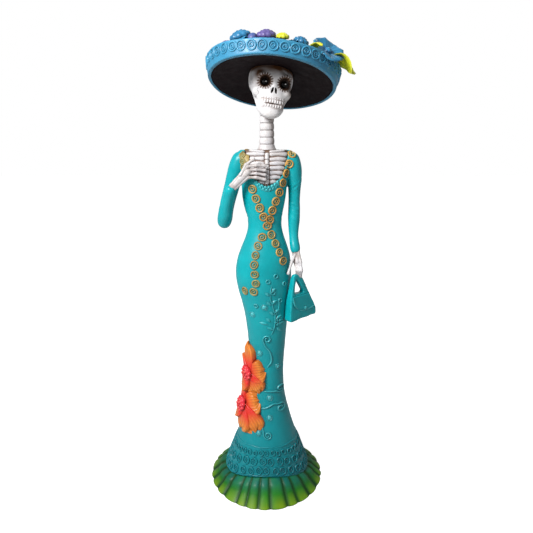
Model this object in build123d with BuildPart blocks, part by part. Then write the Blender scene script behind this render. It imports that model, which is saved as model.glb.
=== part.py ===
"""Papier-mache catrina: a tall skeleton lady in a fitted teal dress and a wide flowered hat.

Millimetres, +Z up. The origin is the centre of the foot disc on the table. The figure faces -Y,
so +X is the side of the arm that carries the handbag. Angles round the body are measured from
the front (-Y) towards +X.
"""

import os
from math import atan2, cos, degrees, pi, radians, sin

from build123d import *

# ---------------------------------------------------------------- driving dimensions
WALL = 3.0  # papier-mache shell of the skirt
BODICE_WALL = 2.0
WAIST = 288.0
HEM_SEAM = 22.0  # where the ruffle is pasted on
SINK = 0.3  # how far paste trimmings are pressed into the wet shell
RUNNING_GAP = 0.06  # round the neck dowel, in its socket and in the skull

# Body stations: height, sideways shift, half width, half depth.
BODY = {
    "foot": (0, 0.0, 43.0, 42.5),
    "seam": (HEM_SEAM, 0.4, 42.0, 41.0),
    "flare": (48, 0.5, 34.0, 33.0),
    "calf": (76, 0.5, 25.5, 24.5),
    "knee": (112, 0.6, 18.5, 18.0),
    "thigh": (160, 0.5, 19.2, 18.2),
    "lap": (205, -0.9, 24.0, 21.5),
    "hip": (240, -3.0, 28.2, 24.0),
    "belly": (264, -2.1, 23.6, 19.5),
    "waist": (WAIST, -1.9, 16.6, 14.0),
    "rib": (308, -2.4, 20.0, 15.6),
    "bust": (326, -2.2, 22.0, 16.6),
    "armpit": (344, -1.8, 25.0, 14.4),
    "shoulder": (360, -1.6, 23.5, 9.5),
}
SHOULDER_TOP = BODY["shoulder"][0]

# The neckline is a U in the front view, as (x, z): open at the shoulders, low over the breastbone.
NECKLINE = [(-21.5, 365), (-17.5, 345), (-9.0, 331), (0.5, 327.0), (9.5, 330.5), (17.5, 343), (22.5, 365)]

# Ruffle outlines: height, mean radius, ripple. The under side is the same sheet seen from inside.
RUFFLE_FLUTES = 26
RUFFLE_OUTSIDE = [(0, 62.0, 2.2), (11, 52.0, 1.8), (HEM_SEAM + 2, 43.6, 0.7)]
RUFFLE_INSIDE = [(-1, 61.2, 2.2), (11, 49.8, 1.8), (HEM_SEAM + 2.5, 41.0, 0.7)]

# Lace band: cord heights, and rows of height, ring count and ring radius.
LACE_CORDS = (HEM_SEAM + 2.6, 53.0)
LACE_ROWS = [(29.8, 28, 3.4), (38.6, 25, 3.5), (46.8, 34, 2.2)]

# Inside: foot disc and post, which stands in a blind hole so that the disc is whole underneath.
FOOT_THICKNESS = 5.0
POST_RADIUS = 3.0
POST_BOTTOM = 1.0
POST_TOP = 318.0
CHEST_BOTTOM = 300.0

# Neck: a dowel that lifts out of a paper tube in the chest.
NECK_X, NECK_Y = 0.3, 1.5
NECK_RADIUS = 6.5
NECK_TOP = 404.0
VERTEBRA_COUNT = 6
DOWEL_RADIUS = 2.5
DOWEL_BOTTOM = 328.0
DOWEL_TOP = 418.0
SOCKET_RADIUS = 4.2
COLLAR_BOTTOM = SHOULDER_TOP + 0.05
COLLAR_HEIGHT = 5.0

# Head and hat are modelled upright about their own centres, then leaned over.
HEAD_PLACE = Location((6.0, 0.5, 416.0), (-6, 7.5, 5))
HAT_PLACE = Location((5.0, 3.0, 418.5), (-18, 5.5, 0))
# Head stations: height, sideways shift, forward shift, half width, half depth. The brow is set
# over towards the right hand's side, as on a face turned a little the other way.
HEAD = [
    (-29.5, -0.3, -12.5, 6.5, 5.0),
    (-26, -0.6, -11.0, 10.0, 8.0),
    (-16, -1.0, -7.5, 14.2, 12.0),
    (-7, -1.8, -2.5, 18.0, 17.0),
    (3, -2.6, 0.5, 20.8, 19.5),
    (13, -2.8, 1.5, 20.6, 20.0),
    (22, -2.4, 1.5, 15.5, 15.5),
    (27, -2.0, 1.5, 7.0, 7.0),
]
MOUTH_HEIGHT = -17.5
EYE_X, EYE_Z = 8.9, 1.5
EYE_SOCKET_RADIUS = 4.6

HAT_RADIUS = 59.5
BAND_FLARE = 3.0
BAND_HEIGHT = 17.0
BAND_WALL = 3.0
BRIM_SHEET = 2.6
BRIM_RISE = 9.0  # from the rim up to the crown
CROWN_RADIUS = 22.0
CROWN_TOP = 30.0


# ---------------------------------------------------------------- helpers
def oval(plane, shift_x, shift_y, half_width, half_depth):
    """An ellipse on a plane; half_width is not below half_depth, so lofts don't twist."""
    with BuildSketch(plane) as section:
        with Locations((shift_x, shift_y)):
            if half_width >= half_depth:
                Ellipse(half_width, half_depth)
            else:
                Ellipse(half_depth, half_width, rotation=90)
    return section.sketch


def body_ring(station, inset=0.0):
    """One section of the body, pulled in by inset."""
    height, shift, half_width, half_depth = station
    return oval(Plane.XY.offset(height), shift, 0, half_width - inset, half_depth - inset)


def fluted_ring(height, radius, ripple):
    """A closed wavy outline: the ruffle's section at one height."""
    points = RUFFLE_FLUTES * 4
    turns = [2 * pi * n / points for n in range(points)]
    reach = [radius + ripple * cos(RUFFLE_FLUTES * turn) for turn in turns]
    with BuildSketch(Plane.XY.offset(height)) as ring:
        with BuildLine():
            Spline(*[(r * sin(t), -r * cos(t)) for r, t in zip(reach, turns)], periodic=True)
        make_face()
    return ring.sketch


def limb(points, radii):
    """A smooth round limb through points, with a radius at each station and rounded ends."""
    with BuildLine(mode=Mode.PRIVATE) as path:
        Spline(*points)
    edge = path.edge()
    steps = len(radii) - 1
    stations = [(Plane(origin=edge @ (n / steps), z_dir=edge % (n / steps)), r) for n, r in enumerate(radii)]
    first, last = stations[0], stations[-1]
    rounding = [(0.5, 0.87), (0.86, 0.5)]  # shares of the end radius: distance out, radius there
    start = [(first[0].offset(-out * first[1]), share * first[1]) for out, share in reversed(rounding)]
    end = [(last[0].offset(out * last[1]), share * last[1]) for out, share in rounding]
    with BuildPart() as arm:
        for plane, radius in start + stations + end:
            with BuildSketch(plane):
                Circle(radius)
        loft()
    return arm.part

def wire(points, radius):
    """A bent round wire through points."""
    with BuildPart() as bent:
        with BuildLine() as path:
            Spline(*points)
        with BuildSketch(Plane(origin=path.line @ 0, z_dir=path.line % 0)):
            Circle(radius)
        sweep(path=path.line)
    return bent.part


def ellipsoid(half_x, half_y, half_z):
    """A ball stretched along the three axes."""
    with BuildPart() as ball:
        Sphere(1)
        scale(by=(half_x, half_y, half_z))
    return ball.part


def paste_ring(radius, thickness, core_radius):
    """A pressed ring of paste with a dot in its middle, flat where it sits in the shell."""
    with BuildPart() as ring:
        Torus(radius, thickness)
        Sphere(core_radius)
        split(bisect_by=Plane.XY.offset(-SINK), keep=Keep.TOP)
    return ring.part


def paste_dot(radius):
    """A low domed dot of paste, flat underneath."""
    with BuildPart() as dot:
        Sphere(radius)
        split(bisect_by=Plane.XY.offset(radius * 0.3), keep=Keep.TOP)
    return dot.part.moved(Location((0, 0, -radius * 0.3 - SINK)))


def vertebra(height):
    """One neck bone, a rounded drum bored for the dowel."""
    with BuildPart() as drum:
        Cylinder(NECK_RADIUS, height)
        fillet(drum.edges(), 0.9)
        Cylinder(DOWEL_RADIUS, height, mode=Mode.SUBTRACT)
    return drum.part

def teeth(spots, height):
    """Rounded blocks pressed into the jaw at each spot."""
    with BuildPart() as row:
        with Locations(*spots):
            Box(2.3, height, 2.2)
        fillet(row.edges(), 0.6)
    return row.part

def blossom(petals, radius, height):
    """A cupped paper flower: fat petals leaning out round a bud."""
    with BuildPart() as bloom:
        add(ellipsoid(0.42 * radius, 0.42 * radius, 0.5 * height))
        with PolarLocations(0.5 * radius, petals):
            with Locations(Location((0, 0, 0), (0, 28, 0))):
                add(ellipsoid(0.45 * radius, 0.5 * radius, 0.42 * height))
    return bloom.part

def leaf(points, widths, thickness):
    """A long leaf lying flat along a curve, with a half width at each station."""
    with BuildLine(mode=Mode.PRIVATE) as path:
        Spline(*points)
    edge = path.edge()
    steps = len(widths) - 1
    with BuildPart() as blade:
        for n, width in enumerate(widths):
            across = Vector(0, 0, 1).cross(edge % (n / steps))
            with BuildSketch(Plane(origin=edge @ (n / steps), x_dir=across, z_dir=edge % (n / steps))):
                Ellipse(width, thickness)
        loft()
    return blade.part

def round_body(angle, height):
    """The outward-facing plane where a level ray at this angle leaves the dress."""
    outwards = Vector(sin(radians(angle)), -cos(radians(angle)), 0)
    point, normal = dress_skin.find_intersection_points(Axis((0, 0, height), outwards))[-1]
    return Plane(origin=point, x_dir=Vector(cos(radians(angle)), sin(radians(angle)), 0), z_dir=normal)


def front_body(x, height):
    """The outward-facing plane where a ray from straight in front first meets the dress."""
    point, normal = dress_skin.find_intersection_points(Axis((x, -150, height), (0, 1, 0)))[0]
    return Plane(origin=point, x_dir=(1, 0, 0), z_dir=normal)


def spaced(points, count):
    """count evenly spaced (x, z) places on a smooth curve through (x, z) points."""
    with BuildLine(mode=Mode.PRIVATE) as curve:
        Spline(*points)
    edge = curve.edge()
    places = [edge @ (n / (count - 1)) for n in range(count)]
    return [(place.X, place.Y) for place in places]


def finish(name, part):
    """Labels one finished piece and writes its STEP file."""
    part.label = name
    export_step(part, f"parts/{name}.step")


os.makedirs("parts", exist_ok=True)

# ---------------------------------------------------------------- dress: outer form and hollows
with BuildPart() as dress_form:
    loft(sections=[body_ring(s) for s in BODY.values()])
dress_skin = dress_form.part.shell()

with BuildPart() as skirt_hollow:
    loft(sections=[body_ring(s, WALL) for s in BODY.values() if s[0] < SHOULDER_TOP])

with BuildPart() as chest_form:
    loft(sections=[body_ring(s, BODICE_WALL) for s in BODY.values() if s[0] >= WAIST])

with BuildPart() as skirt_shell:
    add(dress_form.part)
    split(bisect_by=Plane.XY.offset(WAIST), keep=Keep.BOTTOM)
    add(skirt_hollow.part, mode=Mode.SUBTRACT)

# ---------------------------------------------------------------- post and foot
with BuildPart() as foot_disc:
    add(skirt_hollow.part)
    split(bisect_by=Plane.XY.offset(FOOT_THICKNESS), keep=Keep.BOTTOM)
    with Locations((0, 0, FOOT_THICKNESS)):
        Hole(POST_RADIUS, depth=FOOT_THICKNESS - POST_BOTTOM)

with BuildPart() as armature_post:
    with BuildSketch(Plane.XY.offset(POST_BOTTOM)):
        Circle(POST_RADIUS)
    extrude(amount=POST_TOP - POST_BOTTOM)

# ---------------------------------------------------------------- arms
RIGHT_ARM = [(-25.5, 1.5, 349.5), (-35, 4, 322), (-42.3, 5, 290.5)]
RIGHT_FOREARM = [(-42.0, 3.0, 290.3), (-38.5, -7, 306), (-34.2, -16.5, 323)]
LEFT_ARM = [(24.0, 1.5, 349.5), (27.6, 3.5, 322), (27.3, 2.5, 296), (28.8, -5.5, 264)]

with BuildPart() as right_sleeve:
    add(limb(RIGHT_ARM, [8.6, 7.8, 7.2, 6.9]))
    add(limb(RIGHT_FOREARM, [6.9, 6.3, 5.4]))
    add(dress_form.part, mode=Mode.SUBTRACT)

with BuildPart() as left_sleeve:
    add(limb(LEFT_ARM, [8.4, 6.8, 5.7, 5.3, 4.9]))
    add(dress_form.part, mode=Mode.SUBTRACT)


# ---------------------------------------------------------------- bodice and chest
with BuildPart() as bodice_shell:
    add(dress_form.part)
    split(bisect_by=Plane.XY.offset(WAIST), keep=Keep.TOP)
    add(chest_form.part, mode=Mode.SUBTRACT)
    with BuildSketch(Plane.XZ):
        with BuildLine():
            Spline(*NECKLINE)
            Line(NECKLINE[-1], NECKLINE[0])
        make_face()
    extrude(amount=60, mode=Mode.SUBTRACT)

with BuildPart() as neck_socket:
    with BuildSketch(Plane(origin=(NECK_X, NECK_Y, DOWEL_BOTTOM))):
        Circle(SOCKET_RADIUS)
        Circle(DOWEL_RADIUS + RUNNING_GAP, mode=Mode.SUBTRACT)
    extrude(amount=SHOULDER_TOP - DOWEL_BOTTOM)

with BuildPart() as chest_core:
    add(chest_form.part)
    split(bisect_by=Plane.XY.offset(CHEST_BOTTOM), keep=Keep.TOP)
    with Locations((0, 0, CHEST_BOTTOM)):
        Cylinder(POST_RADIUS, 2 * (POST_TOP - CHEST_BOTTOM), mode=Mode.SUBTRACT)
    with Locations((NECK_X, NECK_Y, SHOULDER_TOP)):
        Cylinder(SOCKET_RADIUS, 2 * (SHOULDER_TOP - DOWEL_BOTTOM), mode=Mode.SUBTRACT)

# Ribs curve round the chest from the breastbone; each follows the chest's own section.
RIB_HEIGHTS = [334.5 + 4.3 * n for n in range(6)]
RIB_REACH = [9.5, 11.5, 13.5, 15.5, 17.0, 18.0]
RIB_THICKNESS = 1.5
with BuildPart() as ribs:
    for side in (-1, 1):
        for height, reach in zip(RIB_HEIGHTS, RIB_REACH):
            inner = 3.0
            steps = [inner + (reach - inner) * n / 3 for n in range(4)]
            marks = [front_body(side * x + 0.3, height - 0.06 * x) for x in steps]
            bar = wire([mark.origin - mark.z_dir * (BODICE_WALL + 0.1) for mark in marks], RIB_THICKNESS)
            add(bar)
    add(chest_form.part, mode=Mode.SUBTRACT)
    add(bodice_shell.part, mode=Mode.SUBTRACT)

with BuildPart() as breastbone:
    marks = [front_body(0.5, height) for height in (329, 337, 346, 356)]
    add(wire([mark.origin - mark.z_dir * (BODICE_WALL - 0.2) for mark in marks], 2.1))
    add(chest_form.part, mode=Mode.SUBTRACT)
    add(bodice_shell.part, mode=Mode.SUBTRACT)
    add(ribs.part, mode=Mode.SUBTRACT)

# ---------------------------------------------------------------- hands
def hand(wrist, knuckles, palm_radii, fingers, thumb, finger_radius):
    """A skeletal hand: a flat palm limb, four finger limbs and a thumb."""
    with BuildPart() as bones:
        add(limb([wrist, (Vector(wrist) + Vector(knuckles)) / 2, knuckles], palm_radii))
        for finger in fingers:
            add(limb(finger, [finger_radius, finger_radius * 0.95, finger_radius * 0.75]))
        add(limb(thumb, [finger_radius * 1.2, finger_radius * 1.2, finger_radius * 0.7]))
    return bones.part


RIGHT_FINGERS = [
    [
        (-17.5, -20.5 + 0.3 * n, 345.5 - 3.3 * n),
        (-9.5, -20.2, 346.5 - 3.6 * n),
        (-1.5, -18.4 - 0.3 * n, 346 - 4.1 * n),
    ]
    for n in range(4)
]
with BuildPart() as right_hand:
    add(
        hand(
            (-33.6, -17.5, 324.5),
            (-19.5, -21.0, 339.5),
            [3.6, 4.2, 4.6],
            RIGHT_FINGERS,
            [(-24, -20.5, 338), (-19, -20.5, 347), (-12, -19.0, 352)],
            1.55,
        )
    )

LEFT_FINGERS = [
    [
        (28.2 + 1.9 * n, -9.5 - 0.8 * n, 252),
        (30.0 + 1.6 * n, -14.0 - 0.4 * n, 244),
        (30.4 + 1.3 * n, -11.5 + 0.3 * n, 236.5),
    ]
    for n in range(4)
]
with BuildPart() as left_hand:
    add(
        hand(
            (28.9, -6.0, 262.5),
            (30.8, -9.8, 252.5),
            [3.2, 3.7, 3.9],
            LEFT_FINGERS,
            [(28.5, -9.5, 259), (25.0, -12.5, 252), (21.6, -16.5, 241.5)],
            1.45,
        )
    )

# ---------------------------------------------------------------- handbag
BAG_TURN = 40.0
BAG_CORNER = (24.5, -20.0, 190.0)
BAG_DEPTH = 10.0
BAG_TOP_DEPTH = 4.5
BAG_HEIGHT = 50.0
bag_front = Plane(
    origin=BAG_CORNER,
    x_dir=(cos(radians(BAG_TURN)), sin(radians(BAG_TURN)), 0),
    z_dir=(sin(radians(BAG_TURN)), -cos(radians(BAG_TURN)), 0),
)
bag_side = Plane(origin=BAG_CORNER, x_dir=-bag_front.z_dir, z_dir=bag_front.x_dir)

with BuildPart() as bag_body:
    with BuildSketch(bag_front) as outline:
        Polygon((0, 0), (36, 1.5), (36.5, 9), (13, BAG_HEIGHT), (4, BAG_HEIGHT), (0.5, 24), align=None)
        fillet(outline.vertices(), 2.0)
        with BuildSketch(bag_front, mode=Mode.SUBTRACT) as handle_hole:
            Polygon((5.5, 29), (19, 29), (9.5, 44), (7, 44), align=None)
            fillet(handle_hole.vertices(), 1.2)
    extrude(amount=-BAG_DEPTH)
    with BuildSketch(bag_side):
        Polygon(
            (0, -1),
            (BAG_DEPTH, -1),
            (BAG_DEPTH, 10),
            (BAG_TOP_DEPTH, BAG_HEIGHT + 1),
            (0, BAG_HEIGHT + 1),
            align=None,
        )
    extrude(amount=60, both=True, mode=Mode.INTERSECT)
    add(dress_form.part, mode=Mode.SUBTRACT)

with BuildPart() as bag_flap:
    with BuildSketch(bag_front):
        with BuildLine():
            Polyline((1.5, 27.2), (24.8, 27.2), (33.2, 12.5))
            Spline((33.2, 12.5), (20.5, 10.0), (5.5, 16.0), (1.5, 27.2))
        make_face()
    extrude(amount=1.0)

with BuildPart() as bag_button:
    with Locations(bag_front.offset(1.0) * Location((19.5, 12.8, 0))):
        add(ellipsoid(2.0, 2.0, 1.2))
        Cylinder(4, 4, align=(Align.CENTER, Align.CENTER, Align.MAX), mode=Mode.SUBTRACT)


# ---------------------------------------------------------------- hem: ruffle, cords and lace
with BuildPart() as hem_ruffle:
    loft(sections=[fluted_ring(*s) for s in RUFFLE_OUTSIDE])
    loft(sections=[fluted_ring(*s) for s in RUFFLE_INSIDE], mode=Mode.SUBTRACT)
    add(dress_form.part, mode=Mode.SUBTRACT)

with BuildPart() as hem_cords:
    for height in LACE_CORDS:
        with BuildLine() as path:
            Spline(*[round_body(turn, height).origin for turn in range(0, 360, 30)], periodic=True)
        with BuildSketch(Plane(origin=path.line @ 0, z_dir=path.line % 0)):
            Circle(0.8)
        sweep(path=path.line)

with BuildPart() as lace_rings:
    for height, count, radius in LACE_ROWS:
        with Locations(*[round_body(360 * n / count, height) for n in range(count)]):
            add(paste_ring(radius, 0.8, 0.25 * radius))

# ---------------------------------------------------------------- gold chain and neckline frill
RIGHT_CHAIN = [(-13.3, 324), (-6.8, 307), (1.2, 288), (9.2, 270.5), (16.3, 254)]
LEFT_CHAIN = [
    (24.0, 356),
    (19.6, 341),
    (13.5, 323.5),
    (6.3, 305.5),
    (1.2, 288),
    (-8, 270),
    (-12, 252),
    (-10.5, 233),
]
with BuildPart() as chain_rosettes:
    right_run = spaced(RIGHT_CHAIN, 9)
    left_run = spaced(LEFT_CHAIN, 15)
    hip_run = [(-12.6, 223.5), (-21.5, 223.0)]
    crossing = right_run[4]
    clear_of_crossing = [p for p in left_run if abs(p[1] - crossing[1]) > 5]
    with Locations(*[front_body(x, z) for x, z in right_run + clear_of_crossing + hip_run]):
        add(paste_ring(3.4, 1.0, 1.2))

FRILL = [(-12.0, 332.5), (-7.0, 327.5), (0.5, 324.0), (8.0, 327.0), (12.5, 331.5)]
with BuildPart() as neckline_frill:
    for x, z in spaced(FRILL, 9):
        with Locations(front_body(x, z)):
            add(ellipsoid(2.3, 3.4, 1.6))
    add(dress_form.part, mode=Mode.SUBTRACT)

# ---------------------------------------------------------------- skirt relief
def scroll(tail, centre, start_angle, radius, turns):
    """A tail running into a curl, as (x, z) places in the front view."""
    steps = 9
    curl = []
    for n in range(steps):
        share = n / (steps - 1)
        reach = radius * (1 - 0.62 * share)
        angle = radians(start_angle + 360 * turns * share)
        curl.append((centre[0] + reach * cos(angle), centre[1] + reach * sin(angle)))
    return tail + curl


SCROLLS = [
    scroll([(0.5, 139), (5.0, 147), (3.6, 157), (-1.0, 164)], (0.6, 172), -160, 4.2, -1.2),
    scroll([(-3.5, 112.5), (2.5, 112)], (14.2, 113.5), 215, 4.2, 1.2),
    scroll([(-7.0, 92.5), (0.0, 94), (7.5, 97.5)], (15.0, 92), 110, 4.6, -1.2),
    scroll([(-4.5, 75), (-3.4, 69)], (1.4, 65), 190, 4.0, 1.3),
]
with BuildPart() as skirt_scrolls:
    for places in SCROLLS:
        add(wire([front_body(x, z).origin for x, z in places], 0.8))

SKIRT_DOTS = [(-14.4, 198.3), (-2.2, 207.6), (-7.3, 155.2), (3.3, 104.6), (3.3, 83.1), (-8.5, 66.5)]
SMALL_RINGS = [(12.0, 136), (-4.5, 186), (9.5, 214), (17.5, 231)]
with BuildPart() as skirt_dots:
    with Locations(*[front_body(x, z) for x, z in SKIRT_DOTS]):
        add(paste_dot(2.2))
    with Locations(*[front_body(x, z) for x, z in SMALL_RINGS]):
        add(paste_ring(1.6, 0.6, 0.6))

SPRIG_STEM = [(4.5, 176), (8.5, 190), (10.5, 204), (15.0, 216)]
SPRIG_LEAVES = [(9.5, 184, -35), (5.4, 192, 40), (11.8, 197, -40), (7.4, 203, 35), (14.2, 208, -40)]
with BuildPart() as skirt_sprig:
    add(wire([front_body(x, z).origin for x, z in SPRIG_STEM], 0.7))
    for x, z, lean in SPRIG_LEAVES:
        with Locations(front_body(x, z).location * Location((0, 0, 0), (0, 0, lean))):
            add(ellipsoid(1.3, 3.0, 0.7))

# ---------------------------------------------------------------- big flowers on the skirt
def lifted(angle, height, lift):
    """A point standing off the dress."""
    plane = round_body(angle, height)
    return plane.origin + plane.z_dir * lift


def petal(root, tip, width, thickness, facing):
    """A fan-shaped plate from root to tip, facing outwards."""
    along = tip - root
    length = along.length
    side = facing.cross(along).normalized()
    plane = Plane(origin=root, x_dir=along, z_dir=along.cross(side).normalized())
    with BuildPart() as plate:
        with BuildSketch(plane):
            with BuildLine():
                Spline(
                    (0, -2.4),
                    (0.55 * length, -0.46 * width),
                    (0.88 * length, -0.4 * width),
                    (length, 0),
                    (0.88 * length, 0.4 * width),
                    (0.55 * length, 0.46 * width),
                    (0, 2.4),
                )
                Line((0, 2.4), (0, -2.4))
            make_face()
        extrude(amount=thickness / 2, both=True)
    return plate.part


def flower(angle, height, lift, tips, width):
    """Petals round a raised middle, with paste packed behind them down to the skirt."""
    centre = lifted(angle, height, lift)
    facing = round_body(angle, height).z_dir
    with BuildPart() as bloom:
        with BuildSketch(Plane(origin=centre, z_dir=facing)):
            Circle(5.5)
        with BuildSketch(Plane(origin=centre - facing * (lift + 3), z_dir=facing)):
            Circle(11.5)
        loft()
        for tip_angle, tip_height in tips:
            tip = lifted(tip_angle, tip_height, 1.6)
            add(petal(centre - facing * 1.5, tip, width, 2.4, facing))
        add(dress_form.part, mode=Mode.SUBTRACT)
    return bloom.part


def flower_heart(angle, height, lift):
    """The raised, ruffled middle of a flower, flat where it sits on the petals."""
    plane = round_body(angle, height).offset(lift)
    with BuildPart() as middle:
        with Locations((0, 0, -3.4)):
            Sphere(7.5)
        with Locations((0, 0, 3.0)):
            Sphere(2.2)
        with PolarLocations(4.2, 5):
            with Locations((0, 0, 1.8)):
                Sphere(2.0)
        split(bisect_by=Plane.XY, keep=Keep.TOP)
    return middle.part.moved(Location(plane))


UPPER_FLOWER = (-58.0, 133.0, 8.0)
LOWER_FLOWER = (-63.0, 96.0, 9.5)
UPPER_TIPS = [(-76, 165), (-4, 139), (-20, 112), (-108, 112), (-128, 142)]
LOWER_TIPS = [(-22, 104), (-22, 71), (-70, 66), (-118, 78), (-120, 108)]
with BuildPart() as upper_flower_petals:
    add(flower(*UPPER_FLOWER, UPPER_TIPS, 20.0))

with BuildPart() as lower_flower_petals:
    add(flower(*LOWER_FLOWER, LOWER_TIPS, 21.0))
    add(upper_flower_petals.part, mode=Mode.SUBTRACT)

with BuildPart() as upper_flower_heart:
    add(flower_heart(*UPPER_FLOWER))

with BuildPart() as lower_flower_heart:
    add(flower_heart(*LOWER_FLOWER))


# ---------------------------------------------------------------- neck
with BuildPart() as neck_dowel:
    with BuildSketch(Plane(origin=(NECK_X, NECK_Y, DOWEL_BOTTOM + 0.1))):
        Circle(DOWEL_RADIUS)
    extrude(amount=DOWEL_TOP - DOWEL_BOTTOM)

with BuildPart() as neck_collar:
    with BuildSketch(Plane.XZ.offset(-NECK_Y)):
        with BuildLine():
            Polyline(
                (NECK_X + 8.6, COLLAR_BOTTOM),
                (NECK_X + DOWEL_RADIUS, COLLAR_BOTTOM),
                (NECK_X + DOWEL_RADIUS, COLLAR_BOTTOM + COLLAR_HEIGHT),
                (NECK_X + 6.2, COLLAR_BOTTOM + COLLAR_HEIGHT),
            )
            RadiusArc((NECK_X + 6.2, COLLAR_BOTTOM + COLLAR_HEIGHT), (NECK_X + 8.6, COLLAR_BOTTOM), -9)
        make_face()
    revolve(axis=Axis((NECK_X, NECK_Y, 0), (0, 0, 1)))

VERTEBRAE_BOTTOM = COLLAR_BOTTOM + COLLAR_HEIGHT
VERTEBRA_HEIGHT = (NECK_TOP - VERTEBRAE_BOTTOM) / VERTEBRA_COUNT
with BuildPart() as neck_vertebrae:
    for n in range(VERTEBRA_COUNT):
        with Locations((NECK_X, NECK_Y, VERTEBRAE_BOTTOM + (n + 0.5) * VERTEBRA_HEIGHT)):
            add(vertebra(VERTEBRA_HEIGHT))

# ---------------------------------------------------------------- skull, upright about its own centre
with BuildPart() as head_form:
    loft(sections=[oval(Plane.XY.offset(h), *section) for h, *section in HEAD])
head_skin = head_form.part.shell()

def face_spot(x, z):
    """The outward-facing plane where a ray from straight in front meets the upright head."""
    point, normal = head_skin.find_intersection_points(Axis((x, -60, z), (0, 1, 0)))[0]
    return Plane(origin=point, x_dir=(1, 0, 0), z_dir=normal)

EYES = [face_spot(side * EYE_X, EYE_Z) for side in (-1, 1)]
with BuildPart() as neck_room:
    with Locations((NECK_X, NECK_Y, NECK_TOP + 0.05)):
        Cylinder(NECK_RADIUS + 1.0, 30, align=(Align.CENTER, Align.CENTER, Align.MAX))
    with Locations((NECK_X, NECK_Y, DOWEL_TOP + 1.0)):
        Cylinder(DOWEL_RADIUS + RUNNING_GAP, 30, align=(Align.CENTER, Align.CENTER, Align.MAX))

with BuildPart() as skull_upright:
    add(head_form.part)
    for eye in EYES:
        with Locations(eye.origin):
            Sphere(EYE_SOCKET_RADIUS, mode=Mode.SUBTRACT)
    for side in (-1, 1):
        with BuildSketch(Plane.XZ.offset(30)):
            with Locations(Location((side * 1.5, -5.6, 0), (0, 0, side * 14))):
                Ellipse(0.95, 2.4)
        extrude(amount=-20, mode=Mode.SUBTRACT)

with BuildPart() as skull:
    add(skull_upright.part.moved(HEAD_PLACE))
    add(neck_room.part, mode=Mode.SUBTRACT)

with BuildPart() as upper_teeth:
    with Locations(HEAD_PLACE):
        add(teeth([face_spot(-9.45 + 2.7 * n, MOUTH_HEIGHT + 2.2) for n in range(8)], 4.0))

with BuildPart() as lower_teeth:
    with Locations(HEAD_PLACE):
        add(teeth([face_spot(-8.1 + 2.7 * n, MOUTH_HEIGHT - 2.0) for n in range(7)], 3.6))

PETALS_PER_EYE = 16
PETAL_TURNS = [2 * pi * n / PETALS_PER_EYE for n in range(PETALS_PER_EYE)]
EYE_RIM = 5.9
RIM_SPOTS = [
    (eye.origin.X + EYE_RIM * sin(turn), eye.origin.Z + EYE_RIM * cos(turn))
    for eye in EYES
    for turn in PETAL_TURNS
]
with BuildPart() as eye_petals:
    with Locations(HEAD_PLACE):
        with Locations(*[face_spot(x, z) for x, z in RIM_SPOTS]):
            Sphere(0.95)

with BuildPart() as eye_discs:
    with Locations(HEAD_PLACE):
        with Locations(*[eye.offset(-3.2) for eye in EYES]):
            add(ellipsoid(3.0, 3.0, 1.6))

with BuildPart() as eye_glints:
    with Locations(HEAD_PLACE):
        with Locations(*[eye.offset(-1.8) for eye in EYES]):
            Sphere(0.55)

# ---------------------------------------------------------------- hat, upright about its rim
with BuildPart() as brim_upright:
    with BuildSketch(Plane.XZ):
        with BuildLine():
            Polyline(
                (HAT_RADIUS - BAND_WALL, 0.5),
                (CROWN_RADIUS, BRIM_RISE),
                (CROWN_RADIUS, BRIM_RISE + BRIM_SHEET),
                (HAT_RADIUS - BAND_WALL, 0.5 + BRIM_SHEET),
                close=True,
            )
        make_face()
    revolve(axis=Axis.Z)

with BuildPart() as band_upright:
    with BuildSketch(Plane.XZ):
        Polygon(
            (HAT_RADIUS - BAND_WALL, 0),
            (HAT_RADIUS, 0),
            (HAT_RADIUS + BAND_FLARE, BAND_HEIGHT),
            (HAT_RADIUS + BAND_FLARE - BAND_WALL, BAND_HEIGHT),
            (HAT_RADIUS - BAND_WALL, 0.5 + BRIM_SHEET),
            align=None,
        )
    revolve(axis=Axis.Z)
    fillet(band_upright.edges().group_by(Axis.Z)[-1], 1.0)

with BuildPart() as crown_upright:
    with BuildSketch(Plane.XZ):
        with BuildLine():
            Polyline(
                (0, BRIM_RISE - 3),
                (CROWN_RADIUS, BRIM_RISE - 3),
                (CROWN_RADIUS, BRIM_RISE + BRIM_SHEET + 2),
            )
            Spline(
                (CROWN_RADIUS, BRIM_RISE + BRIM_SHEET + 2),
                (CROWN_RADIUS - 1.5, CROWN_TOP - 5),
                (CROWN_RADIUS - 9, CROWN_TOP - 0.6),
                (0, CROWN_TOP),
            )
            Line((0, CROWN_TOP), (0, BRIM_RISE - 3))
        make_face()
    revolve(axis=Axis.Z)

with BuildPart() as hat_brim:
    add(brim_upright.part.moved(HAT_PLACE))
    add(head_form.part.moved(HEAD_PLACE), mode=Mode.SUBTRACT)

with BuildPart() as hat_band:
    add(band_upright.part.moved(HAT_PLACE))

with BuildPart() as hat_crown:
    add(crown_upright.part.moved(HAT_PLACE))
    add(head_form.part.moved(HEAD_PLACE), mode=Mode.SUBTRACT)

BAND_LEAN = degrees(atan2(BAND_FLARE, BAND_HEIGHT))
BAND_ROSETTES = 42
ROSETTE_HEIGHT = 10.0
with BuildPart() as band_rosettes:
    with Locations(HAT_PLACE * Location((0, 0, ROSETTE_HEIGHT))):
        with PolarLocations(HAT_RADIUS + BAND_FLARE * ROSETTE_HEIGHT / BAND_HEIGHT, BAND_ROSETTES):
            with Locations(Location((0, 0, 0), (0, 90 + BAND_LEAN, 0))):
                add(paste_ring(3.3, 0.9, 1.2))

# Toppings stand in the tray between crown and band. Blossoms: angle from the front, radius.
TRAY_RADIUS = 42.0


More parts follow.
